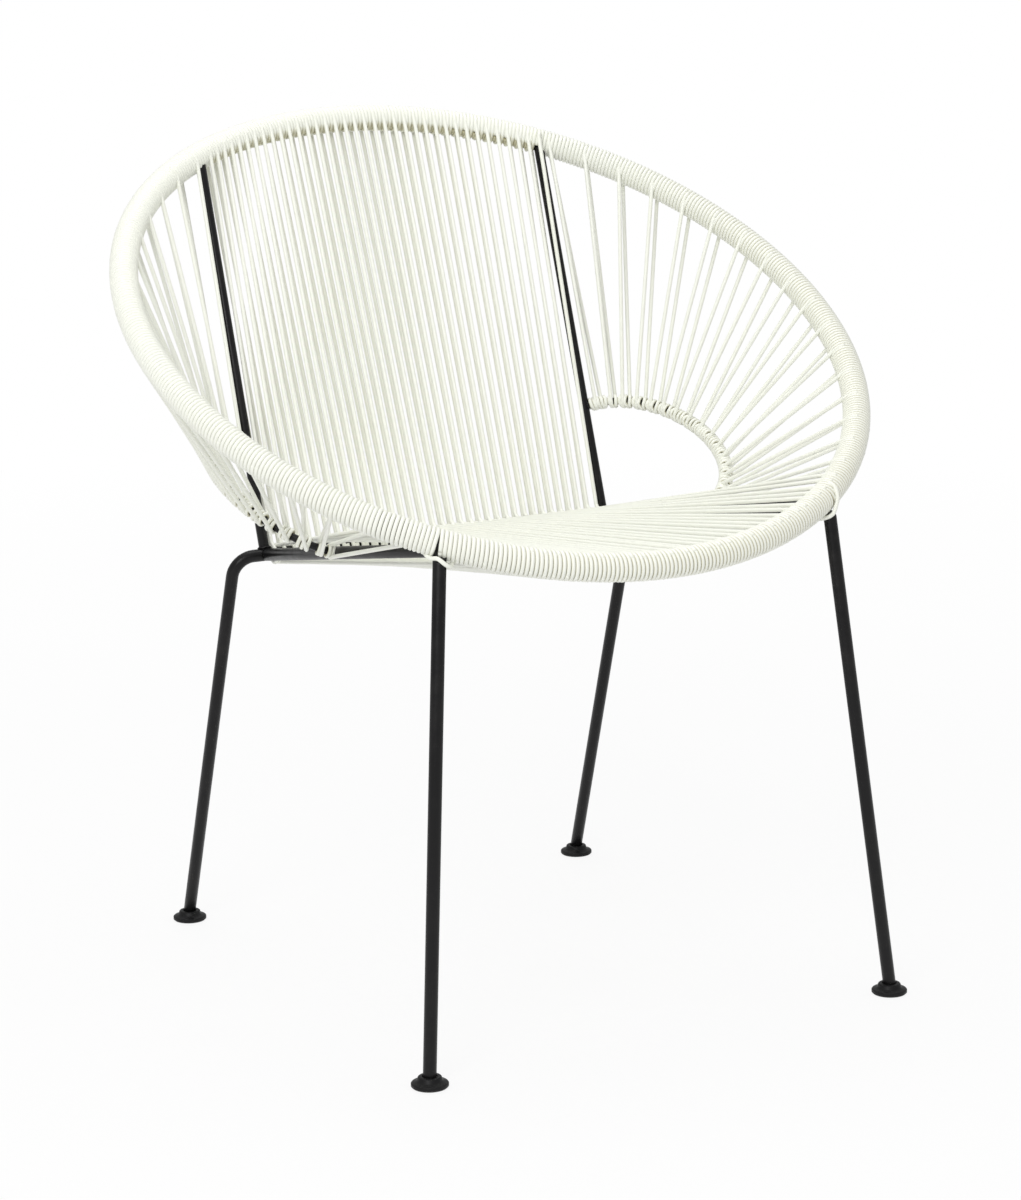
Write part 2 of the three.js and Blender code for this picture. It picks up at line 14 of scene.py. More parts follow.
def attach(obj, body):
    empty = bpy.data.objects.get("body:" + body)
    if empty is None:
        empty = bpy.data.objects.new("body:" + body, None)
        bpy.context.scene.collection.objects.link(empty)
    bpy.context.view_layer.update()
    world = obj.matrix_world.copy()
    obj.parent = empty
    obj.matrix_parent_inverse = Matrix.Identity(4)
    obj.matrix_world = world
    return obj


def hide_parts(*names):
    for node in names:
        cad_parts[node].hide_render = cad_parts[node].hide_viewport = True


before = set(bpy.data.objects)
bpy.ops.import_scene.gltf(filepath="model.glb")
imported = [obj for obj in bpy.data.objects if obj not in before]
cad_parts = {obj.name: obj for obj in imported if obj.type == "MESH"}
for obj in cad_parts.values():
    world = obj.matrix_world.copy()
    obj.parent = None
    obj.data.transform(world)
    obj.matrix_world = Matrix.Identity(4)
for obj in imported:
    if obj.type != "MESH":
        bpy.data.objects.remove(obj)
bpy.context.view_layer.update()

LOG = logging.getLogger("porch_chair")
MM = 0.001
DRAW_SEED = 41

Array = np.ndarray
Triple = tuple[float, float, float]
Colour = tuple[float, float, float, float]
Stops = tuple[tuple[float, float], ...]


class Side(Enum):
    """A side of the chair: the value is the sign of its x."""

    RIGHT = 1
    LEFT = -1

    @property
    def word(self) -> str:
        """The side's name as the frame's nodes write it."""
        return self.name.lower()


class Value:
    """A shader socket that takes part in Python expressions."""

    def __init__(self, shop: "NodeShop", socket: bpy.types.NodeSocket) -> None:
        """Wraps a socket of the shop's node tree."""
        self.shop = shop
        self.socket = socket

    def _sum(self, operation: str, *terms: object) -> "Value":
        """Adds one Math node over the terms."""
        return self.shop.value("ShaderNodeMath", {"operation": operation}, *terms)

    def __add__(self, other: object) -> "Value":
        """self + other."""
        return self._sum("ADD", self, other)

    __radd__ = __add__

    def __sub__(self, other: object) -> "Value":
        """self - other."""
        return self._sum("SUBTRACT", self, other)

    def __rsub__(self, other: object) -> "Value":
        """other - self."""
        return self._sum("SUBTRACT", other, self)

    def __mul__(self, other: object) -> "Value":
        """self * other."""
        return self._sum("MULTIPLY", self, other)

    __rmul__ = __mul__

    def clamped(self) -> "Value":
        """self held between 0 and 1."""
        return self.shop.value("ShaderNodeClamp", {}, self)


class NodeShop:
    """Builds the nodes of one material."""

    def __init__(self, name: str) -> None:
        """Makes an empty material with its output.

        Args:
            name: the material's name.
        """
        self.material = bpy.data.materials.new(name)
        self.material.use_nodes = True
        self.tree = self.material.node_tree
        self.tree.nodes.clear()
        self.output = self.tree.nodes.new("ShaderNodeOutputMaterial")

    def node(self, kind: str, settings: dict[str, object], *terms: object) -> bpy.types.Node:
        """Adds one node.

        Args:
            kind: the node's type.
            settings: its properties, set before the sockets.
            *terms: values or links of its first sockets, None to leave one alone;
                a pair of a socket's name and a term reaches any other socket.

        Returns:
            The node.
        """
        made = self.tree.nodes.new(kind)
        for key, setting in settings.items():
            setattr(made, key, setting)
        enabled = [socket for socket in made.inputs if socket.enabled]
        for place, term in enumerate(terms):
            if isinstance(term, tuple) and len(term) == 2 and isinstance(term[0], str):
                matching = [socket for socket in enabled if socket.name == term[0]]
                self.join(term[1], matching[0])
            elif term is not None:
                self.join(term, enabled[place])
        return made

    def join(self, term: object, socket: bpy.types.NodeSocket) -> None:
        """Links a wrapped socket, or sets a plain value.

        Args:
            term: a Value or a number, colour or vector.
            socket: the input that takes it.
        """
        if isinstance(term, Value):
            self.tree.links.new(term.socket, socket)
        else:
            socket.default_value = term

    def value(self, kind: str, settings: dict[str, object], *terms: object) -> Value:
        """Adds one node and wraps its first enabled output."""
        made = self.node(kind, settings, *terms)
        return Value(self, next(out for out in made.outputs if out.enabled))

    def ramp(self, term: Value, stops: Stops) -> Value:
        """Maps a value through a grey ramp.

        Args:
            term: what is mapped.
            stops: pairs of place and grey level.

        Returns:
            The mapped value.
        """
        made = self.node("ShaderNodeValToRGB", {}, term)
        band = made.color_ramp
        while len(band.elements) < len(stops):
            band.elements.new(0.5)
        for element, (place, grey) in zip(band.elements, stops):
            element.position = place
            element.color = (grey, grey, grey, 1.0)
        return Value(self, made.outputs["Color"])

    def noise(self, place: Value, scale: float, detail: float, rough: float = 0.5) -> Value:
        """Noise read at a place.

        Args:
            place: where it is read.
            scale: how fine it is.
            detail: its octaves.
            rough: weight of the finer octaves.

        Returns:
            The noise, 0 to 1.
        """
        made = self.node(
            "ShaderNodeTexNoise",
            {},
            ("Vector", place),
            ("Scale", scale),
            ("Detail", detail),
            ("Roughness", rough),
        )
        return Value(self, made.outputs[0])

    def blend(self, share: object, low: object, high: object) -> Value:
        """Mixes two colours."""
        made = self.node("ShaderNodeMix", {"data_type": "RGBA"}, share, low, high)
        return Value(self, next(out for out in made.outputs if out.enabled))

    def stretched(self, place: Value, scale: Triple) -> Value:
        """A place scaled along its axes.

        Args:
            place: what is scaled.
            scale: one factor for each axis.

        Returns:
            The scaled place.
        """
        return self.value(
            "ShaderNodeMapping", {"vector_type": "POINT"}, ("Vector", place), ("Scale", scale)
        )

    def object_place(self) -> Value:
        """The place on the piece in its own coordinates, metres."""
        return Value(self, self.node("ShaderNodeTexCoord", {}).outputs["Object"])

    def uv_place(self) -> Value:
        """The place on the piece's own UV map: millimetres along, and round."""
        return self.value("ShaderNodeUVMap", {"uv_map": "UVMap"})

    def attribute(self, name: str) -> Value:
        """A number kept on the mesh."""
        made = self.node("ShaderNodeAttribute", {"attribute_name": name})
        return Value(self, made.outputs["Fac"])

    def bumped(self, height: Value, strength: float, distance: float) -> Value:
        """A normal from a height.

        Args:
            height: of the relief.
            strength: how much of it shows.
            distance: height of a step of 1, metres.

        Returns:
            The normal.
        """
        return self.value(
            "ShaderNodeBump",
            {},
            ("Strength", strength),
            ("Distance", distance),
            ("Height", height),
        )

    def finish(self, **sockets: object) -> bpy.types.Material:
        """Closes the material with one Principled shader.

        Args:
            **sockets: its inputs, with _ for a space.

        Returns:
            The material.
        """
        made = self.node("ShaderNodeBsdfPrincipled", {})
        for key, term in sockets.items():
            self.join(term, made.inputs[key.replace("_", " ")])
        self.tree.links.new(made.outputs[0], self.output.inputs["Surface"])
        return self.material


@dataclass(frozen=True)
class CordFinish:
    """Satin plastic cord: drawn lines along it, soft waves, and painted shade in the grooves
    between turns.

    Attributes:
        groove_stops: share of the painted groove shade at depths from 0 to 1.
        wear: shares of clouds and of tone in the warm colour, and what is taken off.
        sheen: shares of waves, grain and tone in the roughness, and its least value.
        relief: heights of lines, waves and grain.
        bump: strength and distance of the relief.
    """

    name: str = "ivory_cord"
    pale: Colour = (0.89, 0.90, 0.832, 1.0)
    warm: Colour = (0.875, 0.88, 0.775, 1.0)
    # Painted shade: the dark khaki laid into the grooves between turns.
    groove: Colour = (0.50, 0.46, 0.26, 1.0)
    draw_lines: Triple = (0.02, 9.0, 1.0)
    wave_stretch: Triple = (1.0, 2.0, 1.0)
    wave_scale: float = 0.09
    grain_scale: float = 2600.0
    cloud_scale: float = 14.0
    groove_stops: Stops = ((0.14, 0.0), (0.5, 0.62), (1.0, 1.0))
    wear: Triple = (0.55, 0.6, 0.12)
    sheen: Colour = (0.22, 0.10, 0.05, 0.22)
    relief: Triple = (0.45, 0.9, 0.12)
    bump: tuple[float, float] = (0.35, 0.00012)
    refraction: float = 1.46

    def make(self) -> bpy.types.Material:
        """Builds the material.

        Returns:
            The material.
        """
        shop = NodeShop(self.name)
        along = shop.uv_place()
        lines = shop.noise(shop.stretched(along, self.draw_lines), 1.0, 2.0)
        waves = shop.noise(shop.stretched(along, self.wave_stretch), self.wave_scale, 3.0)
        grain = shop.noise(shop.object_place(), self.grain_scale, 2.0)
        clouds = shop.noise(shop.object_place(), self.cloud_scale, 3.0)
        tone = shop.attribute("tone")
        by_clouds, by_tone, off = self.wear
        worn = (clouds * by_clouds + tone * by_tone - off).clamped()
        colour = shop.blend(worn, self.pale, self.warm)
        # Painted shade: the groove colour is blended in as the mesh's inner attribute rises.
        depth = shop.ramp(shop.attribute("inner"), self.groove_stops)
        colour = shop.blend(depth, colour, self.groove)
        by_waves, by_grain, by_tone, least = self.sheen
        shine = waves * by_waves + grain * by_grain + tone * by_tone + least
        high_lines, high_waves, high_grain = self.relief
        height = lines * high_lines + waves * high_waves + grain * high_grain
        return shop.finish(
            Base_Color=colour,
            Roughness=shine,
            Normal=shop.bumped(height, *self.bump),
            IOR=self.refraction,
        )


@dataclass(frozen=True)
class SteelFinish:
    """Black satin powder coat with a fine orange peel and a little dust.

    Attributes:
        dusting: shares of mottle and of film in the dust.
        dust_stops: how much dust shows at each level of it.
        dust_cover: the most that dust hides of the coat.
        sheen: shares of mottle and of dust in the roughness, and its least value.
        bump: strength and distance of the peel.
    """

    name: str = "black_powder_coat"
    coat: Colour = (0.0045, 0.0043, 0.0048, 1.0)
    dust: Colour = (0.016, 0.015, 0.0145, 1.0)
    peel_scale: float = 900.0
    mottle_scale: float = 60.0
    film_scale: float = 9.0
    dusting: tuple[float, float] = (0.6, 0.4)
    dust_stops: Stops = ((0.46, 0.0), (0.72, 1.0))
    dust_cover: float = 0.7
    sheen: Triple = (0.16, 0.10, 0.24)
    mottle_height: float = 0.3
    bump: tuple[float, float] = (0.30, 0.00018)
    specular: float = 0.25

    def make(self) -> bpy.types.Material:
        """Builds the material.

        Returns:
            The material.
        """
        shop = NodeShop(self.name)
        place = shop.object_place()
        peel = shop.noise(place, self.peel_scale, 2.0)
        mottle = shop.noise(place, self.mottle_scale, 4.0, 0.6)
        film = shop.noise(place, self.film_scale, 3.0)
        by_mottle, by_film = self.dusting
        dusty = shop.ramp(mottle * by_mottle + film * by_film, self.dust_stops)
        by_mottle, by_dust, least = self.sheen
        return shop.finish(
            Base_Color=shop.blend(dusty * self.dust_cover, self.coat, self.dust),
            Roughness=mottle * by_mottle + dusty * by_dust + least,
            Normal=shop.bumped(peel + mottle * self.mottle_height, *self.bump),
            Specular_IOR_Level=self.specular,
        )


@dataclass(frozen=True)
class GlideFinish:
    """Moulded black plastic with a fine spark texture, scuffed paler towards the floor.

    Attributes:
        scuff_height: how far up from the floor the scuffs reach, metres.
        scuff_stops: how strong the scuffs are from the floor up to there.
        sheen: shares of patches and of scuffs in the roughness, and its least value.
        relief: heights of sparks and patches.
        bump: strength and distance of the relief.
    """

    name: str = "moulded_glide"
    plastic: Colour = (0.007, 0.007, 0.0075, 1.0)
    scuff: Colour = (0.036, 0.035, 0.033, 1.0)
    spark_scale: float = 3200.0
    patch_scale: float = 260.0
    scuff_height: float = 0.0022
    scuff_stops: Stops = ((0.2, 1.0), (1.0, 0.0))
    scuff_strength: float = 1.4
    sheen: Triple = (0.22, 0.15, 0.36)
    relief: tuple[float, float] = (0.5, 0.5)
    bump: tuple[float, float] = (0.35, 0.00012)
    specular: float = 0.2

    def make(self) -> bpy.types.Material:
        """Builds the material.

        Returns:
            The material.
        """
        shop = NodeShop(self.name)
        place = shop.object_place()
        spark = shop.noise(place, self.spark_scale, 3.0)
        patch = shop.noise(place, self.patch_scale, 4.0, 0.65)
        height = shop.value("ShaderNodeSeparateXYZ", {}, place)
        rise = Value(shop, height.socket.node.outputs["Z"])
        low = shop.ramp(rise * (1.0 / self.scuff_height), self.scuff_stops)
        worn = (low * patch * self.scuff_strength).clamped()
        by_patch, by_scuff, least = self.sheen
        high_spark, high_patch = self.relief
        return shop.finish(
            Base_Color=shop.blend(worn, self.plastic, self.scuff),
            Roughness=patch * by_patch + worn * by_scuff + least,
            Normal=shop.bumped(spark * high_spark + patch * high_patch, *self.bump),
            Specular_IOR_Level=self.specular,
        )


@dataclass(frozen=True)
class FloorFinish:
    """A pale studio floor that shows white and keeps the chair's shadow.

    Attributes:
        fade: distances from its middle, in tens of metres, and shares of plain white.
        sheen: share of mottle in the roughness, and its least value.
    """

    name: str = "pale_floor"
    tint: Colour = (0.86, 0.86, 0.86, 1.0)
    white: Colour = (1.0, 1.0, 1.0, 1.0)
    fade: Stops = ((0.05, 0.86), (0.16, 0.95), (0.3, 1.0))
    fade_scale: float = 0.1
    mottle_scale: float = 3.0
    sheen: tuple[float, float] = (0.1, 0.6)

    def make(self) -> bpy.types.Material:
        """Builds the material.

        Returns:
            The material.
        """
        shop = NodeShop(self.name)
        matt = shop.node("ShaderNodeBsdfPrincipled", {})
        matt.inputs["Base Color"].default_value = self.tint
        mottle = shop.noise(shop.object_place(), self.mottle_scale, 3.0)
        by_mottle, least = self.sheen
        shop.join(mottle * by_mottle + least, matt.inputs["Roughness"])
        glow = shop.node("ShaderNodeEmission", {}, self.white, 1.0)
        ray = shop.node("ShaderNodeLightPath", {})
        seen = Value(shop, ray.outputs["Is Camera Ray"])
        mirrored = Value(shop, ray.outputs["Is Glossy Ray"])
        passed = Value(shop, ray.outputs["Is Transmission Ray"])
        reach = shop.value("ShaderNodeVectorMath", {"operation": "LENGTH"}, shop.object_place())
        distance = Value(shop, reach.socket.node.outputs["Value"])
        far = shop.ramp(distance * self.fade_scale, self.fade)
        share = (seen + mirrored + passed).clamped() * far
        mixed = shop.node("ShaderNodeMixShader", {}, share)
        shop.tree.links.new(matt.outputs[0], mixed.inputs[1])
        shop.tree.links.new(glow.outputs[0], mixed.inputs[2])
        shop.tree.links.new(mixed.outputs[0], shop.output.inputs["Surface"])
        return shop.material


@dataclass
class Finishes:
    """The finishes of the chair, each made once."""

    cord: bpy.types.Material = field(default_factory=lambda: CordFinish().make())
    steel: bpy.types.Material = field(default_factory=lambda: SteelFinish().make())
    glide: bpy.types.Material = field(default_factory=lambda: GlideFinish().make())
    floor: bpy.types.Material = field(default_factory=lambda: FloorFinish().make())


def vec(x: float, y: float, z: float) -> Array:
    """A point or direction, millimetres."""
    return np.array((x, y, z), dtype=float)


def unit(direction: Array) -> Array:
    """A direction, or each row of directions, at length 1."""
    return direction / np.linalg.norm(direction, axis=-1, keepdims=True)


def turned(direction: Array, axis: Array, angle: float) -> Array:
    """A direction turned round an axis.

    Args:
        direction: what is turned.
        axis: of length 1.
        angle: radians.

    Returns:
        The turned direction.
    """
    across = np.cross(axis, direction)
    keep = axis * axis.dot(direction) * (1 - math.cos(angle))
    return direction * math.cos(angle) + across * math.sin(angle) + keep


@dataclass
class Line:
    """A cord's middle line with the direction of its crown at each point."""

    points: Array
    crowns: Array

    def __add__(self, other: "Line") -> "Line":
        """This line followed by another."""
        points = np.vstack((self.points, other.points))
        return Line(points, np.vstack((self.crowns, other.crowns)))

    def backwards(self) -> "Line":
        """The same line from its other end."""
        return Line(self.points[::-1], self.crowns[::-1])


def straight(start: Array, end: Array, crown: Array, count: int) -> Line:
    """A straight line without its two ends.

    Args:
        start: where it begins.
        end: where it ends.
        crown: direction of its crown.
        count: how many points lie between.

    Returns:
        The line.
    """
    shares = np.linspace(0.0, 1.0, count + 2)[1:-1, None]
    return Line(start + (end - start) * shares, np.tile(crown, (count, 1)))


def rounded(points: Array, count: int) -> Array:
    """A smooth path through points, as a Catmull-Rom curve.

    Args:
        points: that it passes.
        count: steps from each point to the next.

    Returns:
        The points of the path.
    """
    ends = np.vstack((2 * points[0] - points[1], points, 2 * points[-1] - points[-2]))
    share = np.linspace(0.0, 1.0, count, endpoint=False)[:, None]
    made = []
    for before, start, end, after in zip(ends, ends[1:], ends[2:], ends[3:]):
        bend = 2 * before - 5 * start + 4 * end - after
        twist = 3 * (start - end) + after - before
        made.append(start + (end - before + (bend + twist * share) * share) * share / 2)
    return np.vstack((*made, points[-1:]))


class CordMesh:
    """Collects round cords into one mesh."""

    def __init__(self) -> None:
        """Starts empty."""
        self.vertices: list[Array] = []
        self.faces: list[Array] = []
        self.caps: list[Array] = []
        self.face_uv: list[Array] = []
        self.inner: list[Array] = []
        self.tone: list[Array] = []
        self.count = 0

    def add(
        self,
        line: Line,
        radius: float,
        sides: int,
        tone: float,
        wound: Array | float = 0.0,
        shade: Array | float = 0.0,
        closed: bool = False,
    ) -> None:
        """Sweeps a round section along a line, capped at both ends.

        Args:
            line: the middle line and its crowns.
            radius: the cord's.
            sides: of its section.
            tone: 0 to 1, how warm this length of cord is.
            wound: how deep the painted shade in its grooves is, or at each point of the line.
            shade: 0 to 1, the same painted shade over its whole skin, or at each point of the
                line.
            closed: whether the line runs on from its last point to its first.
        """
        points = line.points
        if closed:
            run = unit(np.roll(points, -1, axis=0) - np.roll(points, 1, axis=0))
        else:
            run = unit(np.gradient(points, axis=0))
        crown = unit(line.crowns - run * np.sum(line.crowns * run, axis=1, keepdims=True))
        cross = np.cross(run, crown)
        angles = 2 * math.pi * np.arange(sides) / sides
        rings = (
            points[:, None]
            + radius * np.cos(angles)[None, :, None] * crown[:, None]
            + radius * np.sin(angles)[None, :, None] * cross[:, None]
        )
        total = len(points)
        self.vertices.append(rings.reshape(-1, 3))
        # Painted shade: none at the crown, most on the side of the section that faces inward.
        groove = np.outer(wound * np.ones(total), (1 - np.cos(angles)) / 2)
        tint = groove + (shade * np.ones(total))[:, None]
        self.inner.append(np.clip(tint, 0.0, 1.0).ravel())
        self.tone.append(np.full(total * sides, tone))
        grid = self.count + np.arange(total * sides).reshape(total, sides)
        if closed:
            grid = np.vstack((grid, grid[:1]))
            points = np.vstack((points, points[:1]))
        after = np.roll(grid, -1, axis=1)
        quads = np.stack((grid[:-1], after[:-1], after[1:], grid[1:]), axis=-1)
        self.faces.append(quads.reshape(-1, 4))
        steps = np.linalg.norm(np.diff(points, axis=0), axis=1)
        reach = np.concatenate(([0.0], np.cumsum(steps)))
        low, high = reach[:-1, None], reach[1:, None]
        left = np.arange(sides)[None, :] / sides
        right = left + 1 / sides
        ones = np.ones_like(low * left)
        corners = ((low * ones, left * ones), (low * ones, right * ones),
                   (high * ones, right * ones), (high * ones, left * ones))
        uv = np.stack([np.stack(corner, axis=-1) for corner in corners], axis=2)
        self.face_uv.append(uv.reshape(-1, 2))
        if not closed:
            self.caps += [grid[0, ::-1], grid[-1]]
        self.count += total * sides

    def build(self, name: str) -> bpy.types.Object:
        """Makes the object, in metres, with its UV map and its attributes.

        Args:
            name: the piece's name.

        Returns:
            The object.
        """
        mesh = bpy.data.meshes.new(name)
        places = np.concatenate(self.vertices) * MM
        quads = np.concatenate(self.faces)
        cap_loops = np.concatenate(self.caps) if self.caps else np.empty(0, dtype=int)
        loops = np.concatenate((quads.ravel(), cap_loops))
        totals = np.concatenate((np.full(len(quads), 4), [len(cap) for cap in self.caps]))
        starts = np.concatenate(([0], np.cumsum(totals)[:-1]))
        mesh.vertices.add(len(places))
        mesh.vertices.foreach_set("co", places.ravel())
        mesh.loops.add(len(loops))
        mesh.loops.foreach_set("vertex_index", loops.astype(np.int32))
        mesh.polygons.add(len(totals))
        mesh.polygons.foreach_set("loop_start", starts.astype(np.int32))
        mesh.polygons.foreach_set("loop_total", totals.astype(np.int32))
        mesh.update(calc_edges=True)
        mesh.polygons.foreach_set("use_smooth", np.ones(len(totals), dtype=bool))
        uv = mesh.uv_layers.new(name="UVMap")
        flat = np.zeros((len(loops), 2), dtype=np.float32)
        walls = np.concatenate(self.face_uv)
        flat[: len(walls)] = walls
        uv.data.foreach_set("uv", flat.ravel())
        # The inner attribute carries the painted shade; tone is the cord's own warmth.
        for key, parts in (("inner", self.inner), ("tone", self.tone)):
            kept = mesh.attributes.new(key, "FLOAT", "POINT")
            kept.data.foreach_set("value", np.concatenate(parts).astype(np.float32))
        mesh.validate()
        piece = bpy.data.objects.new(name, mesh)
        bpy.context.scene.collection.objects.link(piece)
        return piece


def dress(piece: bpy.types.Object, finish: bpy.types.Material, slot: str, *nodes: str) -> None:
    """Gives a piece its finish and its body, and hides the CAD nodes that it stands for.

    Args:
        piece: the finished piece.
        finish: its material.
        slot: not used.
        *nodes: CAD nodes that it replaces.
    """
    piece.data.materials.clear()
    piece.data.materials.append(finish)
    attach(piece, "root")
    if nodes:
        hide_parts(*nodes)
    LOG.info("%s: %d faces", piece.name, len(piece.data.polygons))


@dataclass(frozen=True)
class FrameSizes:
    """Places and sizes of the steel, millimetres and degrees."""

    rim_radius: float = 351.5
    rim_tilt: float = 30.4
    rim_middle: Triple = (0.0, 1.1, 610.7)
    leg_radius: float = 6.0
    rear_foot: tuple[float, float] = (225.3, 251.2)
    front_foot: tuple[float, float] = (241.3, -301.1)
    leg_end_height: float = 3.3
    glide_height: float = 9.5
    crossbar_y: float = 125.1
    crossbar_height: float = 391.0
    shoulder_x: float = 220.0
    bend_radius: float = 20.0
    front_leg_angle: float = 146.2
    front_leg_outset: float = 7.0
    rail_drop: float = 4.5
    upright_x: float = 187.8
    upright_radius: float = 5.0
    upright_inset: float = 12.4
    upright_stop: float = 4.0
    ring_rod: float = 3.5
    ring_top_height: float = 498.6
    ring_foot_y: float = -44.3
    ring_bulge: float = 74.5
    ring_tilt: float = 15.6


class Geometry:
    """Lines of the frame, worked out from its sizes, for the right side."""

    def __init__(self, sizes: FrameSizes) -> None:
        """Works out the lines.

        Args:
            sizes: of the steel.
        """
        self.sizes = sizes
        tilt = math.radians(sizes.rim_tilt)
        self.middle = vec(*sizes.rim_middle)
        self.backward = vec(0.0, math.cos(tilt), math.sin(tilt))
        self.sideways = vec(1.0, 0.0, 0.0)
        self.normal = np.cross(self.sideways, self.backward)
        self._legs()
        self._upright()
        self._ring()

    def outward(self, angle: Array | float) -> Array:
        """Outward directions at angles round the rim, radians."""
        angle = np.asarray(angle, dtype=float)[..., None]
        return self.backward * np.cos(angle) + self.sideways * np.sin(angle)

    def rim_point(self, angle: Array | float) -> Array:
        """Points of the rim's middle line."""
        return self.middle + self.outward(angle) * self.sizes.rim_radius

    def rim_run(self, angle: float) -> Array:
        """Direction along the rim."""
        return self.outward(angle + math.pi / 2)

    def _legs(self) -> None:
        """Ends of the legs and of the side rails."""
        sizes = self.sizes
        self.shoulder = vec(sizes.shoulder_x, sizes.crossbar_y, sizes.crossbar_height)
        rear = vec(*sizes.rear_foot, sizes.glide_height)
        self.rear_end = self._leg_end(rear, self.shoulder)
        angle = math.radians(sizes.front_leg_angle)
        out = unit(np.cross(self.rim_run(angle), vec(0.0, 0.0, 1.0)))
        out = -out if out[1] > 0 else out
        self.leg_outward = out
        self.front_top = self.rim_point(angle) + out * sizes.front_leg_outset
        front = vec(*sizes.front_foot, sizes.glide_height)
        self.front_end = self._leg_end(front, self.front_top)
        self.rail_rear = vec(sizes.upright_x, sizes.crossbar_y, sizes.crossbar_height)
        self.rail_front = self.front_top - vec(0.0, 0.0, sizes.rail_drop)

    def _leg_end(self, foot: Array, top: Array) -> Array:
        """Where a leg ends inside its glide."""
        rise = top - foot
        return foot + rise * (self.sizes.leg_end_height - foot[2]) / rise[2]

    def _upright(self) -> None:
        """The upright's ends."""
        sizes = self.sizes
        self.upright_angle = math.asin(sizes.upright_x / sizes.rim_radius)
        foot = self.rail_rear
        rise = unit(self.rim_point(self.upright_angle) - foot)
        forward = -np.cross(rise, self.sideways)
        top = self.rim_point(self.upright_angle) + forward * sizes.upright_inset
        self.upright_forward = forward
        self.upright_foot = foot
        self.upright_run = unit(top - foot)
        self.upright_end = top - self.upright_run * sizes.upright_stop

    def _ring(self) -> None:
        """The half ellipse of the arm ring."""
        sizes = self.sizes
        climb = (sizes.ring_top_height - self.upright_foot[2]) / self.upright_run[2]
        top = self.upright_foot + self.upright_run * climb
        rail = self.rail_front - self.rail_rear
        foot = self.rail_rear + rail * ((sizes.ring_foot_y - self.rail_rear[1]) / rail[1])
        self.ring_middle = (top + foot) / 2
        chord = top - foot
        self.ring_half = float(np.linalg.norm(chord)) / 2
        self.ring_along = unit(chord)
        level = unit(self.sideways - self.ring_along * self.ring_along[0])
        out = turned(level, self.ring_along, -math.radians(sizes.ring_tilt))
        self.ring_out = out * vec(1.0, 1.0, -1.0) if out[2] < 0 else out
        self.ring_normal = unit(np.cross(self.ring_out, self.ring_along))

    def ring_point(self, angle: Array | float) -> Array:
        """Points of the arm ring's middle line.

        Args:
            angle: round the ellipse, radians.

        Returns:
            The points.
        """
        angle = np.asarray(angle, dtype=float)[..., None]
        swing = self.ring_out * self.sizes.ring_bulge * np.sin(angle)
        return self.ring_middle + self.ring_along * self.ring_half * np.cos(angle) + swing

    def ring_run(self, angle: Array | float) -> Array:
        """Directions along the arm ring.

        Args:
            angle: round the ellipse, radians.

        Returns:
            The directions.
        """
        angle = np.asarray(angle, dtype=float)[..., None]
        swing = self.ring_out * self.sizes.ring_bulge * np.cos(angle)
        return unit(swing - self.ring_along * self.ring_half * np.sin(angle))


def metres(place: Array) -> Vector:
    """A point in millimetres as Blender's vector in metres."""
    return Vector(place * MM)


def mirrored(place: Array, side: Side) -> Array:
    """A point of the right side on the given side."""
    return place * vec(side.value, 1.0, 1.0)


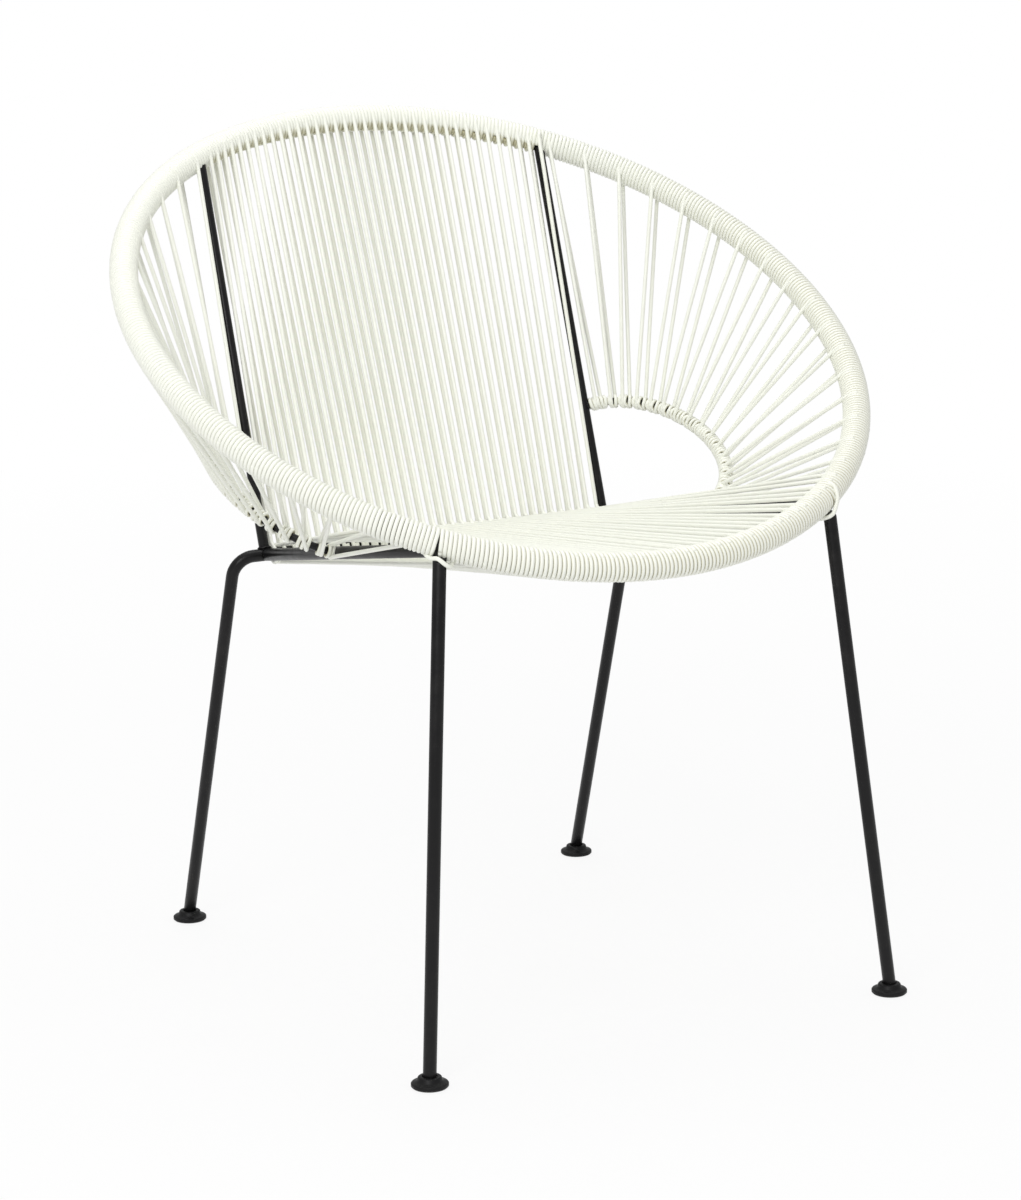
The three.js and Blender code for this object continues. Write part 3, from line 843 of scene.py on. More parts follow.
@dataclass(frozen=True)
class SteelPart:
    """A bent or straight tube, shaped in edit mode.

    Attributes:
        name: the piece's.
        sides: of the tube's section.
        bend_steps: edge loops in a bend.
        edge_round: width of the rounding of its ends, metres.
        edge_segments: steps of that rounding.
        edge_angle: edges sharper than this are rounded, degrees.
        smooth_angle: faces that meet at less are smoothed, degrees.
    """

    name: str
    sides: int = 32
    bend_steps: int = 10
    edge_round: float = 0.0006
    edge_segments: int = 2
    edge_angle: float = 50.0
    smooth_angle: float = 40.0

    def tube(
        self, corners: Sequence[Array], radius: float, bend: float = 0.0
    ) -> bpy.types.Object:
        """A tube along corners with round bends.

        Args:
            corners: points of its middle line, millimetres.
            radius: of the tube.
            bend: radius of the bends at the inner corners.

        Returns:
            The object, at the origin.
        """
        bpy.ops.object.select_all(action="DESELECT")
        run = Vector(corners[1] - corners[0]).normalized()
        bpy.ops.mesh.primitive_circle_add(
            vertices=self.sides,
            radius=radius * MM,
            location=metres(corners[0]),
            rotation=run.to_track_quat("Z", "Y").to_euler(),
        )
        piece = bpy.context.object
        bpy.ops.object.transform_apply(location=True, rotation=True, scale=True)
        bpy.ops.object.mode_set(mode="EDIT")
        bpy.ops.mesh.select_mode(type="EDGE")
        bpy.ops.mesh.select_all(action="SELECT")
        at = corners[0]
        for before, corner, after in zip(corners, corners[1:-1], corners[2:]):
            back, on = unit(before - corner), unit(after - corner)
            half = math.acos(float(back.dot(on))) / 2
            first = corner + back * bend / math.tan(half)
            self._extrude(first - at)
            centre = corner + unit(back + on) * bend / math.sin(half)
            axis = unit(np.cross(-back, on))
            bpy.ops.mesh.spin(
                steps=self.bend_steps,
                angle=-(math.pi - 2 * half),
                center=metres(centre),
                axis=Vector(axis),
            )
            at = corner + on * bend / math.tan(half)
        self._extrude(corners[-1] - at)
        bpy.ops.mesh.select_all(action="SELECT")
        bpy.ops.mesh.fill_holes(sides=0)
        bpy.ops.mesh.normals_make_consistent(inside=False)
        bpy.ops.object.mode_set(mode="OBJECT")
        piece.name = piece.data.name = self.name
        self._soften(piece)
        return piece

    @staticmethod
    def _extrude(step: Array) -> None:
        """Draws the selected edge loop out along a step."""
        bpy.ops.mesh.extrude_region_move(TRANSFORM_OT_translate={"value": metres(step)})

    def _soften(self, piece: bpy.types.Object) -> None:
        """Rounds the sharp ends a little and smooths the wall.

        Args:
            piece: the tube.
        """
        rounding = piece.modifiers.new("rounding", "BEVEL")
        rounding.width = self.edge_round
        rounding.segments = self.edge_segments
        rounding.limit_method = "ANGLE"
        rounding.angle_limit = math.radians(self.edge_angle)
        bpy.ops.object.modifier_apply(modifier=rounding.name)
        bpy.ops.object.shade_smooth_by_angle(angle=math.radians(self.smooth_angle))


@dataclass
class WeldBeads:
    """Rounded beads where two steel pieces are welded.

    Attributes:
        thickness: radius of a bead's section, millimetres.
        seated: the part of it that stands over the tube.
        segments: round the tube and round the section.
        ripple: unevenness of a bead, metres.
        seed: of the unevenness.
    """

    thickness: float = 1.2
    seated: float = 0.3
    segments: tuple[int, int] = (36, 10)
    ripple: float = 0.00022
    seed: int = 7

    def add_to(
        self, piece: bpy.types.Object, joints: Iterable[tuple[Array, Array, float]]
    ) -> None:
        """Joins a bead to a piece for each weld.

        Args:
            piece: takes the beads.
            joints: for each weld its centre, the direction of the tube that it goes round,
                and that tube's radius.
        """
        draws = np.random.default_rng(self.seed)
        made = []
        around, across = self.segments
        for centre, run, radius in joints:
            bpy.ops.object.select_all(action="DESELECT")
            bpy.ops.mesh.primitive_torus_add(
                location=metres(centre),
                rotation=Vector(run).to_track_quat("Z", "Y").to_euler(),
                major_radius=(radius + self.thickness * self.seated) * MM,
                minor_radius=self.thickness * MM,
                major_segments=around,
                minor_segments=across,
            )
            bead = bpy.context.object
            bpy.ops.object.transform_apply(location=True, rotation=True, scale=True)
            middle = metres(centre)
            ripple = draws.uniform(-1.0, 1.0, around).repeat(across) * self.ripple
            for vertex, lift in zip(bead.data.vertices, ripple):
                vertex.co += (vertex.co - middle).normalized() * float(lift)
            bpy.ops.object.shade_smooth()
            made.append(bead)
        bpy.ops.object.select_all(action="DESELECT")
        for bead in made:
            bead.select_set(True)
        piece.select_set(True)
        bpy.context.view_layer.objects.active = piece
        bpy.ops.object.join()


@dataclass
class SteelFrame:
    """Legs, crossbar, rails, uprights and arm rings.

    Attributes:
        leg_stop: how far the front legs stop short of their line's end, millimetres.
        leg_slant: how much their cut drops for each millimetre outwards.
        slant_reach: length of the end that the cut moves.
        rod_stop: how far the uprights stop short of their line's end.
        rod_lean: how far their tops lean back from it.
        rail_start: where the side rails begin, past the crossbar's middle line.
        rail_weld: how far the weld of a rail lies from its front end.
        rod_start: where the uprights begin, over the crossbar's middle line.
        rod_weld: how far over it their welds lie.
        ring_steps: points along an arm ring.
        ring_sides: of its section.
        ring_welds: places of its welds round the ellipse, degrees.
    """

    geometry: Geometry
    finishes: Finishes
    beads: WeldBeads = field(default_factory=WeldBeads)
    leg_stop: float = 10.5
    leg_slant: float = 0.75
    slant_reach: float = 3.0
    rod_stop: float = 5.0
    rod_lean: float = 6.5
    rail_start: float = 2.0
    rail_weld: float = 6.4
    rod_start: float = 3.0
    rod_weld: float = 6.6
    ring_steps: int = 61
    ring_sides: int = 20
    ring_welds: tuple[float, float] = (1.6, 176.6)

    def build(self) -> None:
        """Makes every steel piece."""
        self._rear_bow()
        for side in Side:
            self._front_leg(side)
            self._rail(side)
            self._upright(side)
            self._ring(side)
        rim = bpy.data.objects["rim_tube"]
        rim.data.materials.clear()
        rim.data.materials.append(self.finishes.steel)

    def _rear_bow(self) -> None:
        """The rear legs and the crossbar, one bent tube."""
        lines, sizes = self.geometry, self.geometry.sizes
        corners = [lines.rear_end, lines.shoulder]
        corners += [mirrored(place, Side.LEFT) for place in reversed(corners)]
        piece = SteelPart("rear_leg_bow").tube(corners, sizes.leg_radius, sizes.bend_radius)
        dress(piece, self.finishes.steel, "steel", "rear_leg_frame")

    def _front_leg(self, side: Side) -> None:
        """A front leg, cut aslant under the rim so that its front edge is the lowest.

        Args:
            side: of the chair.
        """
        lines, sizes = self.geometry, self.geometry.sizes
        run = unit(lines.front_top - lines.front_end)
        top = lines.front_top - run * self.leg_stop
        ends = [mirrored(lines.front_end, side), mirrored(top, side)]
        piece = SteelPart(f"front_leg_tube_{side.word}").tube(ends, sizes.leg_radius)
        out = mirrored(lines.leg_outward, side)
        self._slant(piece, ends[1], mirrored(run, side), out * self.leg_slant)
        dress(piece, self.finishes.steel, "steel", f"front_leg_{side.word}")

    def _slant(self, piece: bpy.types.Object, top: Array, run: Array, slope: Array) -> None:
        """Cuts the upper end of a straight tube aslant.

        Args:
            piece: the tube.
            top: middle of its upper end.
            run: its direction.
            slope: how much the end drops for each millimetre in this direction.
        """
        rise, drop = Vector(run), Vector(slope)
        for vertex in piece.data.vertices:
            off = vertex.co - metres(top)
            if off.dot(rise) > -self.slant_reach * MM:
                vertex.co -= rise * off.dot(drop)

    def _rail(self, side: Side) -> None:
        """A side rail with its weld to the leg.

        Args:
            side: of the chair.
        """
        lines, sizes = self.geometry, self.geometry.sizes
        run = unit(lines.rail_front - lines.rail_rear)
        rear = lines.rail_rear + run * self.rail_start
        ends = [mirrored(rear, side), mirrored(lines.rail_front, side)]
        piece = SteelPart(f"side_rail_tube_{side.word}").tube(ends, sizes.leg_radius)
        weld = mirrored(lines.rail_front - run * self.rail_weld, side)
        self.beads.add_to(piece, [(weld, mirrored(run, side), sizes.leg_radius)])
        dress(piece, self.finishes.steel, "steel", f"side_rail_{side.word}")

    def _upright(self, side: Side) -> None:
        """An upright rod, leaning back into the rim, with its weld on the crossbar.

        Args:
            side: of the chair.
        """
        lines, sizes = self.geometry, self.geometry.sizes
        foot = lines.upright_foot + lines.upright_run * self.rod_start
        end = lines.upright_end - lines.upright_run * self.rod_stop
        end = end - lines.upright_forward * self.rod_lean
        corners = [mirrored(place, side) for place in (foot, end)]
        piece = SteelPart(f"upright_rod_{side.word}").tube(corners, sizes.upright_radius)
        base = mirrored(lines.upright_foot + lines.upright_run * self.rod_weld, side)
        run = mirrored(lines.upright_run, side)
        self.beads.add_to(piece, [(base, run, sizes.upright_radius)])
        dress(piece, self.finishes.steel, "steel", f"upright_{side.word}")

    def _ring(self, side: Side) -> None:
        """A bent arm ring rod with its two welds.

        Args:
            side: of the chair.
        """
        lines, sizes = self.geometry, self.geometry.sizes
        angles = np.linspace(0.0, math.pi, self.ring_steps)
        points = mirrored(lines.ring_point(angles), side)
        crowns = np.tile(mirrored(lines.ring_normal, side), (len(points), 1))
        rod = CordMesh()
        rod.add(Line(points, crowns), sizes.ring_rod, self.ring_sides, 0.0)
        piece = rod.build(f"arm_ring_rod_{side.word}")
        welds = []
        for angle in map(math.radians, self.ring_welds):
            centre = mirrored(lines.ring_point(angle), side)
            welds.append((centre, mirrored(lines.ring_run(angle), side), sizes.ring_rod))
        self.beads.add_to(piece, welds)
        dress(piece, self.finishes.steel, "steel", f"arm_ring_{side.word}")


@dataclass(frozen=True)
class CordSizes:
    """Counts and places of the strung cords, millimetres and degrees.

    Attributes:
        front_turn: where a front strand leaves the winding, in turns after its loop's first.
        rear_turn: where the strand's rear run comes back onto it.
        strand_turns: turns from one back strand to the next.
        pair_turns: turns from one pair of side cords to the next.
        right_turns: turns from the last back strand to the first pair at the right.
        leg_turns: turns from the last pair to the seat's outermost strand.
        left_turns: turns from the first pair at the left to the first back strand.
    """

    radius: float = 1.95
    wound_radius: float = 1.93
    rim_core: float = 11.27
    ring_core: float = 5.27
    ring_start: float = 250.0
    turn_steps: int = 24
    turn_sides: int = 10
    strand_sides: int = 12
    back_strands: int = 36
    seat_strands: int = 37
    under_strands: int = 36
    seat_turns: int = 120
    side_pairs: int = 17
    back_from: float = -30.9
    back_to: float = 32.7
    back_span: float = 180.6
    seat_margin: float = 9.0
    seat_angle: float = 141.5
    under_angle: float = 151.0
    side_from: float = 34.6
    side_to: float = 136.8
    side_last_left: float = 141.0
    ring_gaps: tuple[float, ...] = (
        2.6, 17.9, 25.9, 36.0, 46.0, 55.0, 64.0, 74.0, 84.5,
        95.0, 105.0, 115.0, 125.0, 134.0, 144.0, 153.0, 166.0, 176.0,
    )
    ring_gaps_left: tuple[float, ...] = (
        4.5, 17.9, 27.0, 38.0, 49.0, 59.0, 69.0, 79.0, 89.5,
        100.0, 110.0, 119.5, 129.0, 137.2, 148.5, 161.5, 170.5, 176.5,
    )
    turn_gap: float = 0.3
    front_turn: float = 0.444
    rear_turn: float = 1.95
    strand_turns: int = 3
    pair_turns: int = 10
    right_turns: int = 3
    leg_turns: int = 7
    left_turns: int = 6


# Routes of the ties: along the rim from the leg, out from the rim's middle line, and up.
TIE_ROUTES: dict[Side, tuple[Triple, ...]] = {
    Side.LEFT: (
        (-16.0, -2.0, -9.0), (-13.0, 3.0, -12.5), (-8.0, 9.0, -13.2),
        (-3.0, 13.2, -11.2), (0.0, 14.6, -11.5), (4.0, 14.8, -13.6),
        (8.0, 12.5, -15.5), (10.0, 6.5, -16.0), (11.0, -1.0, -11.5),
    ),
    Side.RIGHT: (
        (-9.0, 3.0, 11.5), (-8.0, 8.8, 10.4), (-6.0, 12.6, 6.5), (-4.0, 14.9, 0.5),
        (-2.0, 14.7, -4.0), (0.0, 14.2, -8.0), (3.0, 13.4, -11.0), (6.0, 10.0, -12.8),
        (9.0, 5.0, -13.4), (12.0, 0.0, -12.0), (14.0, -3.0, -9.5),
    ),
}


@dataclass
class RimWinding:
    """The cord wound round the whole rim, as a run of numbered turns.

    Attributes:
        leg_push: how far the turns part at a front leg, millimetres.
        leg_gap: the middle of that gap round the tube, and its half width, degrees.
        push_reach: along the rim, where the push has faded to a third.
        lap_lift: how far a cord that runs onto the winding lies over it.
        lap_step: degrees between the points of such a cord.
        rise_rate: how fast a buried start comes up, in ways per turn.
        sunk_steps: points on the deeper cord behind a back strand.
        sunk_power: how steeply it goes down and comes up.
        sunk_start: how far it begins before the strand leaves, in turns.
        closed_steps: points on a closed turn, with its first again.
        groove_least: depth of the painted shade in the grooves away from the right of the
            front.
        groove_most: what is added there, on the side of the winding away from the light.
        groove_place: the middle of that stretch, degrees round the rim.
        shade_under_strand_share: strength of the painted shade under a strand.
        shade_under_strand_place: its middle below the strand, in turns.
        shade_under_strand_reach: its half width, in turns.
    """

    geometry: Geometry
    sizes: CordSizes
    leg_push: float = 2.6
    leg_gap: tuple[float, float] = (290.0, 150.0)
    push_reach: float = 20.0
    lap_lift: float = 0.12
    lap_step: float = 9.0
    rise_rate: float = 8.0
    sunk_steps: int = 14
    sunk_power: float = 0.4
    sunk_start: float = 0.02
    closed_steps: int = 29
    groove_least: float = 0.45
    groove_most: float = 1.3
    groove_place: float = 135.0
    shade_under_strand_share: float = 0.5
    shade_under_strand_place: float = 0.1
    shade_under_strand_reach: float = 0.11

    def __post_init__(self) -> None:
        """Ties turn numbers to places round the rim, so that strands leave at whole turns."""
        sizes = self.sizes
        back_turns = sizes.strand_turns * (sizes.back_strands - 1)
        side_turns = sizes.pair_turns * (sizes.side_pairs - 1)
        runs = (
            (sizes.back_from, sizes.front_turn),
            (sizes.back_to, back_turns),
            (sizes.side_from, sizes.right_turns),
            (sizes.side_to, side_turns),
            (sizes.seat_angle, sizes.leg_turns),
            (360 - sizes.seat_angle, sizes.seat_turns),
            (360 - sizes.side_to, sizes.leg_turns),
            (360 - sizes.side_from, side_turns),
            (360 + sizes.back_from, sizes.left_turns),
        )
        self.place = np.radians([place for place, _ in runs])
        self.turn = np.cumsum([turns for _, turns in runs])
        self.turns_round = float(self.turn[-1] - self.turn[0])
        places = self.geometry.sizes
        leg = math.radians(places.front_leg_angle)
        self.parts = tuple((place, *self.leg_gap) for place in (leg, 2 * math.pi - leg))

    def angle_at(self, turn: Array | float) -> Array:
        """Angle round the rim at a turn number, before the turns part at the legs.

        Args:
            turn: number of the turn.

        Returns:
            The angle, radians.
        """
        lap = np.floor((np.asarray(turn) - self.turn[0]) / self.turns_round)
        inside = np.asarray(turn) - lap * self.turns_round
        return np.interp(inside, self.turn, self.place) + lap * 2 * math.pi

    def turn_at(self, angle: float) -> float:
        """Turn number at an angle round the rim.

        Args:
            angle: radians.

        Returns:
            The turn number.
        """
        lap = math.floor((angle - self.place[0]) / (2 * math.pi))
        inside = angle - lap * 2 * math.pi
        return float(np.interp(inside, self.place, self.turn)) + lap * self.turns_round

    def _parted(self, turn: Array) -> Array:
        """Shift along the rim, millimetres, where turns part round a front leg.

        Args:
            turn: turn numbers.

        Returns:
            The shift at each of them.
        """
        radius = self.geometry.sizes.rim_radius
        shift = np.zeros_like(turn)
        for place, facing, spread in self.parts:
            centred = np.round(turn - facing / 360.0) + facing / 360.0
            away = (self.angle_at(centred) - place + math.pi) % (2 * math.pi) - math.pi
            away = away * radius
            round_by = (turn - centred) * 360.0
            near = np.clip(1 - np.abs(round_by) / spread, 0.0, 1.0)
            fade = np.exp(-np.abs(away) / self.push_reach)
            shift += np.sign(away) * self.leg_push * fade * near
        return shift

    def line(self, turn: Array, lift: float = 0.0) -> Line:
        """The wound cord's middle line.

        Args:
            turn: turn numbers of its points.
            lift: how far it lies over the other turns.

        Returns:
            The line, with crowns away from the tube.
        """
        return self.line_through(turn, 2 * math.pi * turn, lift)

    def line_through(self, turn: Array, round_by: Array, lift: Array | float = 0.0) -> Line:
        """A cord lying on the rim's tube, at given turn numbers and angles round it.

        Args:
            turn: turn numbers of its points, for their places along the rim.
            round_by: angles round the tube, radians.
            lift: how far it lies over the wound turns.

        Returns:
            The line, with crowns away from the tube.
        """
        angle = self.angle_at(turn) + self._parted(turn) / self.geometry.sizes.rim_radius
        crown = self.geometry.outward(angle) * np.cos(round_by)[:, None]
        crown = crown + self.geometry.normal * np.sin(round_by)[:, None]
        reach = (self.sizes.rim_core + lift) * np.ones_like(round_by)
        return Line(self.geometry.rim_point(angle) + crown * reach[:, None], crown)

    def landing(self, start: Array, angle: float, facing: Array) -> tuple[Array, float, float]:
        """Where a taut cord from a point runs onto the winding.

        Args:
            start: where the cord comes from.
            angle: round the rim, radians.
            facing: the side of the tube that it touches.

        Returns:
            The touching point, the turn number there, and 1 or -1 as the cord runs
            on with rising or falling turns.
        """
        turn = self.turn_at(angle)
        touch = start
        sense = 1.0
        for _ in range(3):
            at = float(self.angle_at(turn))
            rim = self.geometry.rim_point(at)
            run = self.geometry.rim_run(at)
            off = unit(np.cross(run, rim - start))
            off = -off if off.dot(facing) < 0 else off
            touch = rim + off * self.sizes.rim_core
            out = self.geometry.outward(at)
            round_by = math.atan2(off.dot(self.geometry.normal), off.dot(out)) / (2 * math.pi)
            turn = round(self.turn_at(angle) - round_by) + round_by
            rising = self.geometry.normal * math.cos(2 * math.pi * round_by)
            rising = rising - out * math.sin(2 * math.pi * round_by)
            sense = 1.0 if rising.dot(touch - start) > 0 else -1.0
        return touch, turn, sense

    def onto(
        self, start: Array, angle: float, facing: Array, count: int = 3, wrap: float = 46.0
    ) -> Line:
        """A taut cord from a point to the winding and on round it.

        Args:
            start: where it comes from; the point itself isn't in the line.
            angle: round the rim, radians.
            facing: the side of the tube that it touches.
            count: points on the straight stretch.
            wrap: how far it runs on round the tube, degrees.

        Returns:
            The line.
        """
        touch, turn, sense = self.landing(start, angle, facing)
        points = max(3, round(wrap / self.lap_step))
        steps = np.linspace(0.0, wrap / 360.0, points) * sense
        lap = self.line(turn + steps, self.lap_lift)
        lap.points[0] = touch + lap.crowns[0] * (self.lap_lift / 2)
        return straight(start, touch, lap.crowns[0], count) + lap

    def stretch(self, low: float, high: float, sunk: float = 0.0) -> Line:
        """The winding between two turn numbers.

        Args:
            low: where it begins.
            high: where it ends.
            sunk: depth from which its first eighth of a turn comes up.

        Returns:
            The line.
        """
        turn = np.linspace(low, high, round((high - low) * self.sizes.turn_steps) + 1)
        rise = np.clip((turn - low) * self.rise_rate, 0.0, 1.0)
        return self.line_through(turn, 2 * math.pi * turn, sunk * (rise - 1.0))

    def sunk_turn(self, turn: float, depth: float, opening: float) -> Line:
        """A stretch of cord that lies deeper, in the place that a back strand leaves open.

        Args:
            turn: the number of its loop's first turn.
            depth: under the other turns, millimetres.
            opening: the part of a turn that stays bare at its start.

        Returns:
            The line.
        """
        start = self.sizes.front_turn - self.sunk_start + opening
        along = np.linspace(start, self.sizes.rear_turn - 1.0, self.sunk_steps)
        sinking = np.sin(np.linspace(0.0, math.pi, self.sunk_steps)) ** self.sunk_power
        return self.line_through(turn + along, 2 * math.pi * along, -depth * sinking)

    def groove_depth(self, line: Line) -> Array:
        """How deep the painted shade in the grooves between the turns is: most at the right of
        the front.

        Args:
            line: a stretch of the winding.

        Returns:
            The depth at each of its points.
        """
        off = line.points - self.geometry.middle
        angle = np.arctan2(off @ self.geometry.sideways, off @ self.geometry.backward)
        near = np.clip(np.cos(angle - math.radians(self.groove_place)), 0.0, 1.0)
        return self.groove_least + self.groove_most * near

    def shade_under_strand(self, round_by: Array) -> Array:
        """Painted shade on the winding's skin just below the places where the back strands
        leave.

        Args:
            round_by: angles round the tube, as parts of a turn.

        Returns:
            The painted shade, 0 to 1.
        """
        below = (round_by - self.sizes.front_turn) % 1.0
        near = 1 - np.abs(below - self.shade_under_strand_place) / self.shade_under_strand_reach
        return self.shade_under_strand_share * np.sqrt(np.clip(near, 0.0, 1.0))

    def closed_turn(self, turn: float) -> Line:
        """A turn whose lower half slants back, beside the place that a back strand leaves open.

        Args:
            turn: the number of its loop's first turn.

        Returns:
            The line, which closes on itself.
        """
        meets = self.sizes.rear_turn - 1
        round_by = np.linspace(self.sizes.rear_turn - 2, meets, self.closed_steps)[:-1]
        leaves = self.sizes.front_turn
        share = np.clip((round_by - leaves) / (meets - leaves), 0.0, 1.0)
        share = share * share * (3 - 2 * share)
        slant = (1 - leaves - (2 - self.sizes.rear_turn)) * share
        along = np.minimum(round_by, leaves) + 1 - slant
        return self.line_through(turn + along, 2 * math.pi * round_by)


@dataclass(frozen=True)
class OverRod:
    """How the last front strand lies over the end of the right upright, millimetres.

    Attributes:
        points: points on its straight part.
        wrap: how far it goes round the rim, degrees.
        bulge: how far it stands off soon after the crossbar.
        bulge_power: how steeply it gets there.
        rise: what it stands off more at the rod's end.
        sunk: depth of its end in the rim's winding.
    """

    points: int = 9
    wrap: float = 60.0
    bulge: float = 3.0
    bulge_power: float = 0.7
    rise: float = 5.2
    sunk: float = 1.5

    def lift(self, count: int) -> Array:
        """How far each of a number of points stands off, as a column.

        Args:
            count: points on the whole line.

        Returns:
            The distances, millimetres.
        """
        along = np.linspace(0.1, 1.0, self.points)
        bulge = self.bulge * np.sin(math.pi * along * 0.5) ** self.bulge_power
        straight_part = bulge + self.rise * along**2
        most = self.bulge + self.rise + self.sunk
        bend = np.linspace(0.0, math.pi / 2, count - self.points)
        lap = most * np.cos(bend) ** 3 - self.sunk
        return np.concatenate((straight_part, lap))[:, None]


@dataclass(frozen=True)
class RingOpenings:
    """How the groups of turns on an arm ring part, millimetres and radians round the ellipse.

    Attributes:
        least: width of the openings near the upright.
        gain: how much wider they are one ramp further.
        gain_from: where they begin to widen.
        gain_ramp: length of the ramp.
        left_gain: share by which those of the left ring widen besides.
        left_from: where that begins.
        left_ramp: length of its ramp.
        closing: share of an opening that the turns close on the ring's inner side.
        left_closing: the same on the left ring.
        bare: how far round the rod from its outer side an opening stays whole, radians.
        bare_gain: how much further on the front half of the ring.
        bare_from: where that begins.
        bare_ramp: length of its ramp.
        bare_fade: how far round the rod it then closes.
    """

    least: float = 2.45
    gain: float = 1.15
    gain_from: float = 1.6
    gain_ramp: float = 1.2
    left_gain: float = 0.9
    left_from: float = 1.9
    left_ramp: float = 0.4
    closing: float = 1.0
    left_closing: float = 0.3
    bare: float = 1.35
    bare_gain: float = 0.5
    bare_from: float = 1.2
    bare_ramp: float = 0.5
    bare_fade: float = 0.6

    def width(self, low: float, side: Side) -> float:
        """Width of the opening beside a group of turns that begins at an angle.

        Args:
            low: where the group begins.
            side: of the chair.

        Returns:
            The width.
        """
        width = self.least + self.gain * max(0.0, (low - self.gain_from) / self.gain_ramp)
        if side is Side.LEFT:
            further = max(0.0, min(1.0, (low - self.left_from) / self.left_ramp))
            width *= 1.0 + self.left_gain * further
        return width

    def closed(self, low: float, round_by: Array, side: Side) -> Array:
        """The share of an opening that is closed, at angles round the rod.

        Args:
            low: where its group of turns begins.
            round_by: the angles, radians.
            side: of the chair.

        Returns:
            The share at each of them.
        """
        away = np.abs((round_by + math.pi) % (2 * math.pi) - math.pi)
        further = max(0.0, min(1.0, (low - self.bare_from) / self.bare_ramp))
        bare = self.bare + self.bare_gain * further
        share = self.closing if side is Side.RIGHT else self.left_closing
        return np.clip((away - bare) / self.bare_fade, 0.0, 1.0) * share


@dataclass
class Stringing:
    """Every cord of the chair.

    Attributes:
        opening: part of a turn that shows the steel where a back strand leaves the rim.
        rear_shade: painted shade on the back strands' rear runs, which lie behind the front
            runs, 0 to 1.
        shade_depth: how far behind the crossbar's front that painted shade is whole,
            millimetres.
        bar_slant: how far a back strand moves to the right under the crossbar, millimetres.
        seat_shift: how far each seat cord's turn lies beside the middle between two back
            strands on the crossbar's front, millimetres.
        seam: how far two lengths of the rim's winding overlap, in turns.
        buried: depth at which the right winding begins, millimetres.
        sunk_depth: least and most depth of the cord behind a back strand.
        sunk_shade: painted shade over that cord's skin.
        tones: least and most warmth of a strand.
        wound_tone: warmth of the rim's winding.
        sunk_tone: warmth of the cord behind a back strand.
        ring_tone: warmth of the arm rings' windings.
        tie_tone: warmth of the ties.
        back_top: the place on the crossbar that the front strands aim at, degrees round it.
        back_turn: from where to where the back strands go round it, below its front.
        last_turn: where the last of them ends.
        last_shift: how far that end lies to the right of the strand, millimetres.
        drift: how far a strand lies to the right where its turn begins.
        wrap: how far a back strand goes on round the rim, degrees.
        knee: length of its bend at the crossbar, millimetres.
        knee_start: length of the front strand that the bend takes up.
        bare_least: share of back strands with bare steel behind them at the left.
        bare_gain: what the share grows by toward the right.
        strays: the most that a back strand, its slant, an upper and a lower seat strand
            lie beside their places, millimetres.
        landing_stray: the most that an upper seat strand strays on the rim, degrees.
        seat_turn: from where to where the upper seat strands go round the crossbar.
        seat_rise: the same for the rest of their turn, up to the bar's front.
        end_turn: the same for the outermost ones, which end below.
        end_shift: how far those ends lie further out.
        under_turn: the same for the lower seat strands, which begin below.
        under_shift: how far these lie to the right.
        hitches: for both cords of a pair the side of the rim's tube that it touches, its
            share of the group of turns, and how far it leads on the rim, degrees.
        hitch_wrap: how far a side cord goes round the arm ring, degrees.
        ring_sides: sides of the cord in the rings' windings.
        ring_steps: steps along the ellipse by which its length is measured.
        ring_sunk: depth of the ends of each group of turns.
        ring_dive: how fast they go down, in ways per turn.
    """

    geometry: Geometry
    finishes: Finishes
    sizes: CordSizes = field(default_factory=CordSizes)
    over_rod: OverRod = field(default_factory=OverRod)
    openings: RingOpenings = field(default_factory=RingOpenings)
    opening: float = 0.07
    rear_shade: float = 0.18
    shade_depth: float = 6.0
    bar_slant: float = 2.6
    seat_shift: float = -0.9
    seam: float = 0.03
    buried: float = 3.4
    sunk_depth: tuple[float, float] = (1.6, 2.6)
    sunk_shade: float = 0.6
    tones: tuple[float, float] = (0.0, 0.35)
    wound_tone: float = 0.12
    sunk_tone: float = 0.3
    ring_tone: float = 0.15
    tie_tone: float = 0.2
    back_top: float = 84.0
    back_turn: tuple[float, float] = (150.0, 336.0)
    last_turn: float = 330.0
    last_shift: float = 3.0
    drift: float = 0.4
    wrap: float = 14.0
    knee: float = 4.0
    knee_start: float = 5.0
    bare_least: float = 0.15
    bare_gain: float = 0.35
    strays: tuple[float, float, float, float] = (0.25, 0.6, 0.6, 0.3)
    landing_stray: float = 0.25
    seat_turn: tuple[float, float] = (96.0, -24.0)
    seat_rise: tuple[float, float] = (-32.0, -205.0)
    end_turn: tuple[float, float] = (96.0, -92.0)
    end_shift: float = 1.2
    under_turn: tuple[float, float] = (-70.0, -98.0)
    under_shift: float = 1.2
    hitches: tuple[Triple, Triple] = ((1.0, 0.36, 0.0), (-1.0, 0.74, 0.5))
    hitch_wrap: float = 100.0
    ring_sides: int = 8
    ring_steps: int = 2000
    ring_sunk: float = 3.3
    ring_dive: float = 9.0

    def __post_init__(self) -> None:
        """Works out what follows from the sizes."""
        sizes, places = self.sizes, self.geometry.sizes
        self.winding = RimWinding(self.geometry, sizes)
        self.draws = np.random.default_rng(DRAW_SEED)
        self.bar_core = places.leg_radius + sizes.turn_gap + sizes.radius
        self.back_step = 2 * sizes.back_span / (sizes.back_strands - 1)
        self.span = places.upright_x - sizes.seat_margin - 2 * sizes.radius

    def build(self) -> None:
        """Makes every cord piece."""
        self._rim_windings()
        self._back()
        self._seat()
        for side in Side:
            self._ring_winding(side)
            self._side_cords(side)
            self._tie(side)

    def _dress(self, made: CordMesh, name: str, *nodes: str) -> None:
        """Builds a cord piece and gives it its finish."""
        dress(made.build(name), self.finishes.cord, "cord", *nodes)

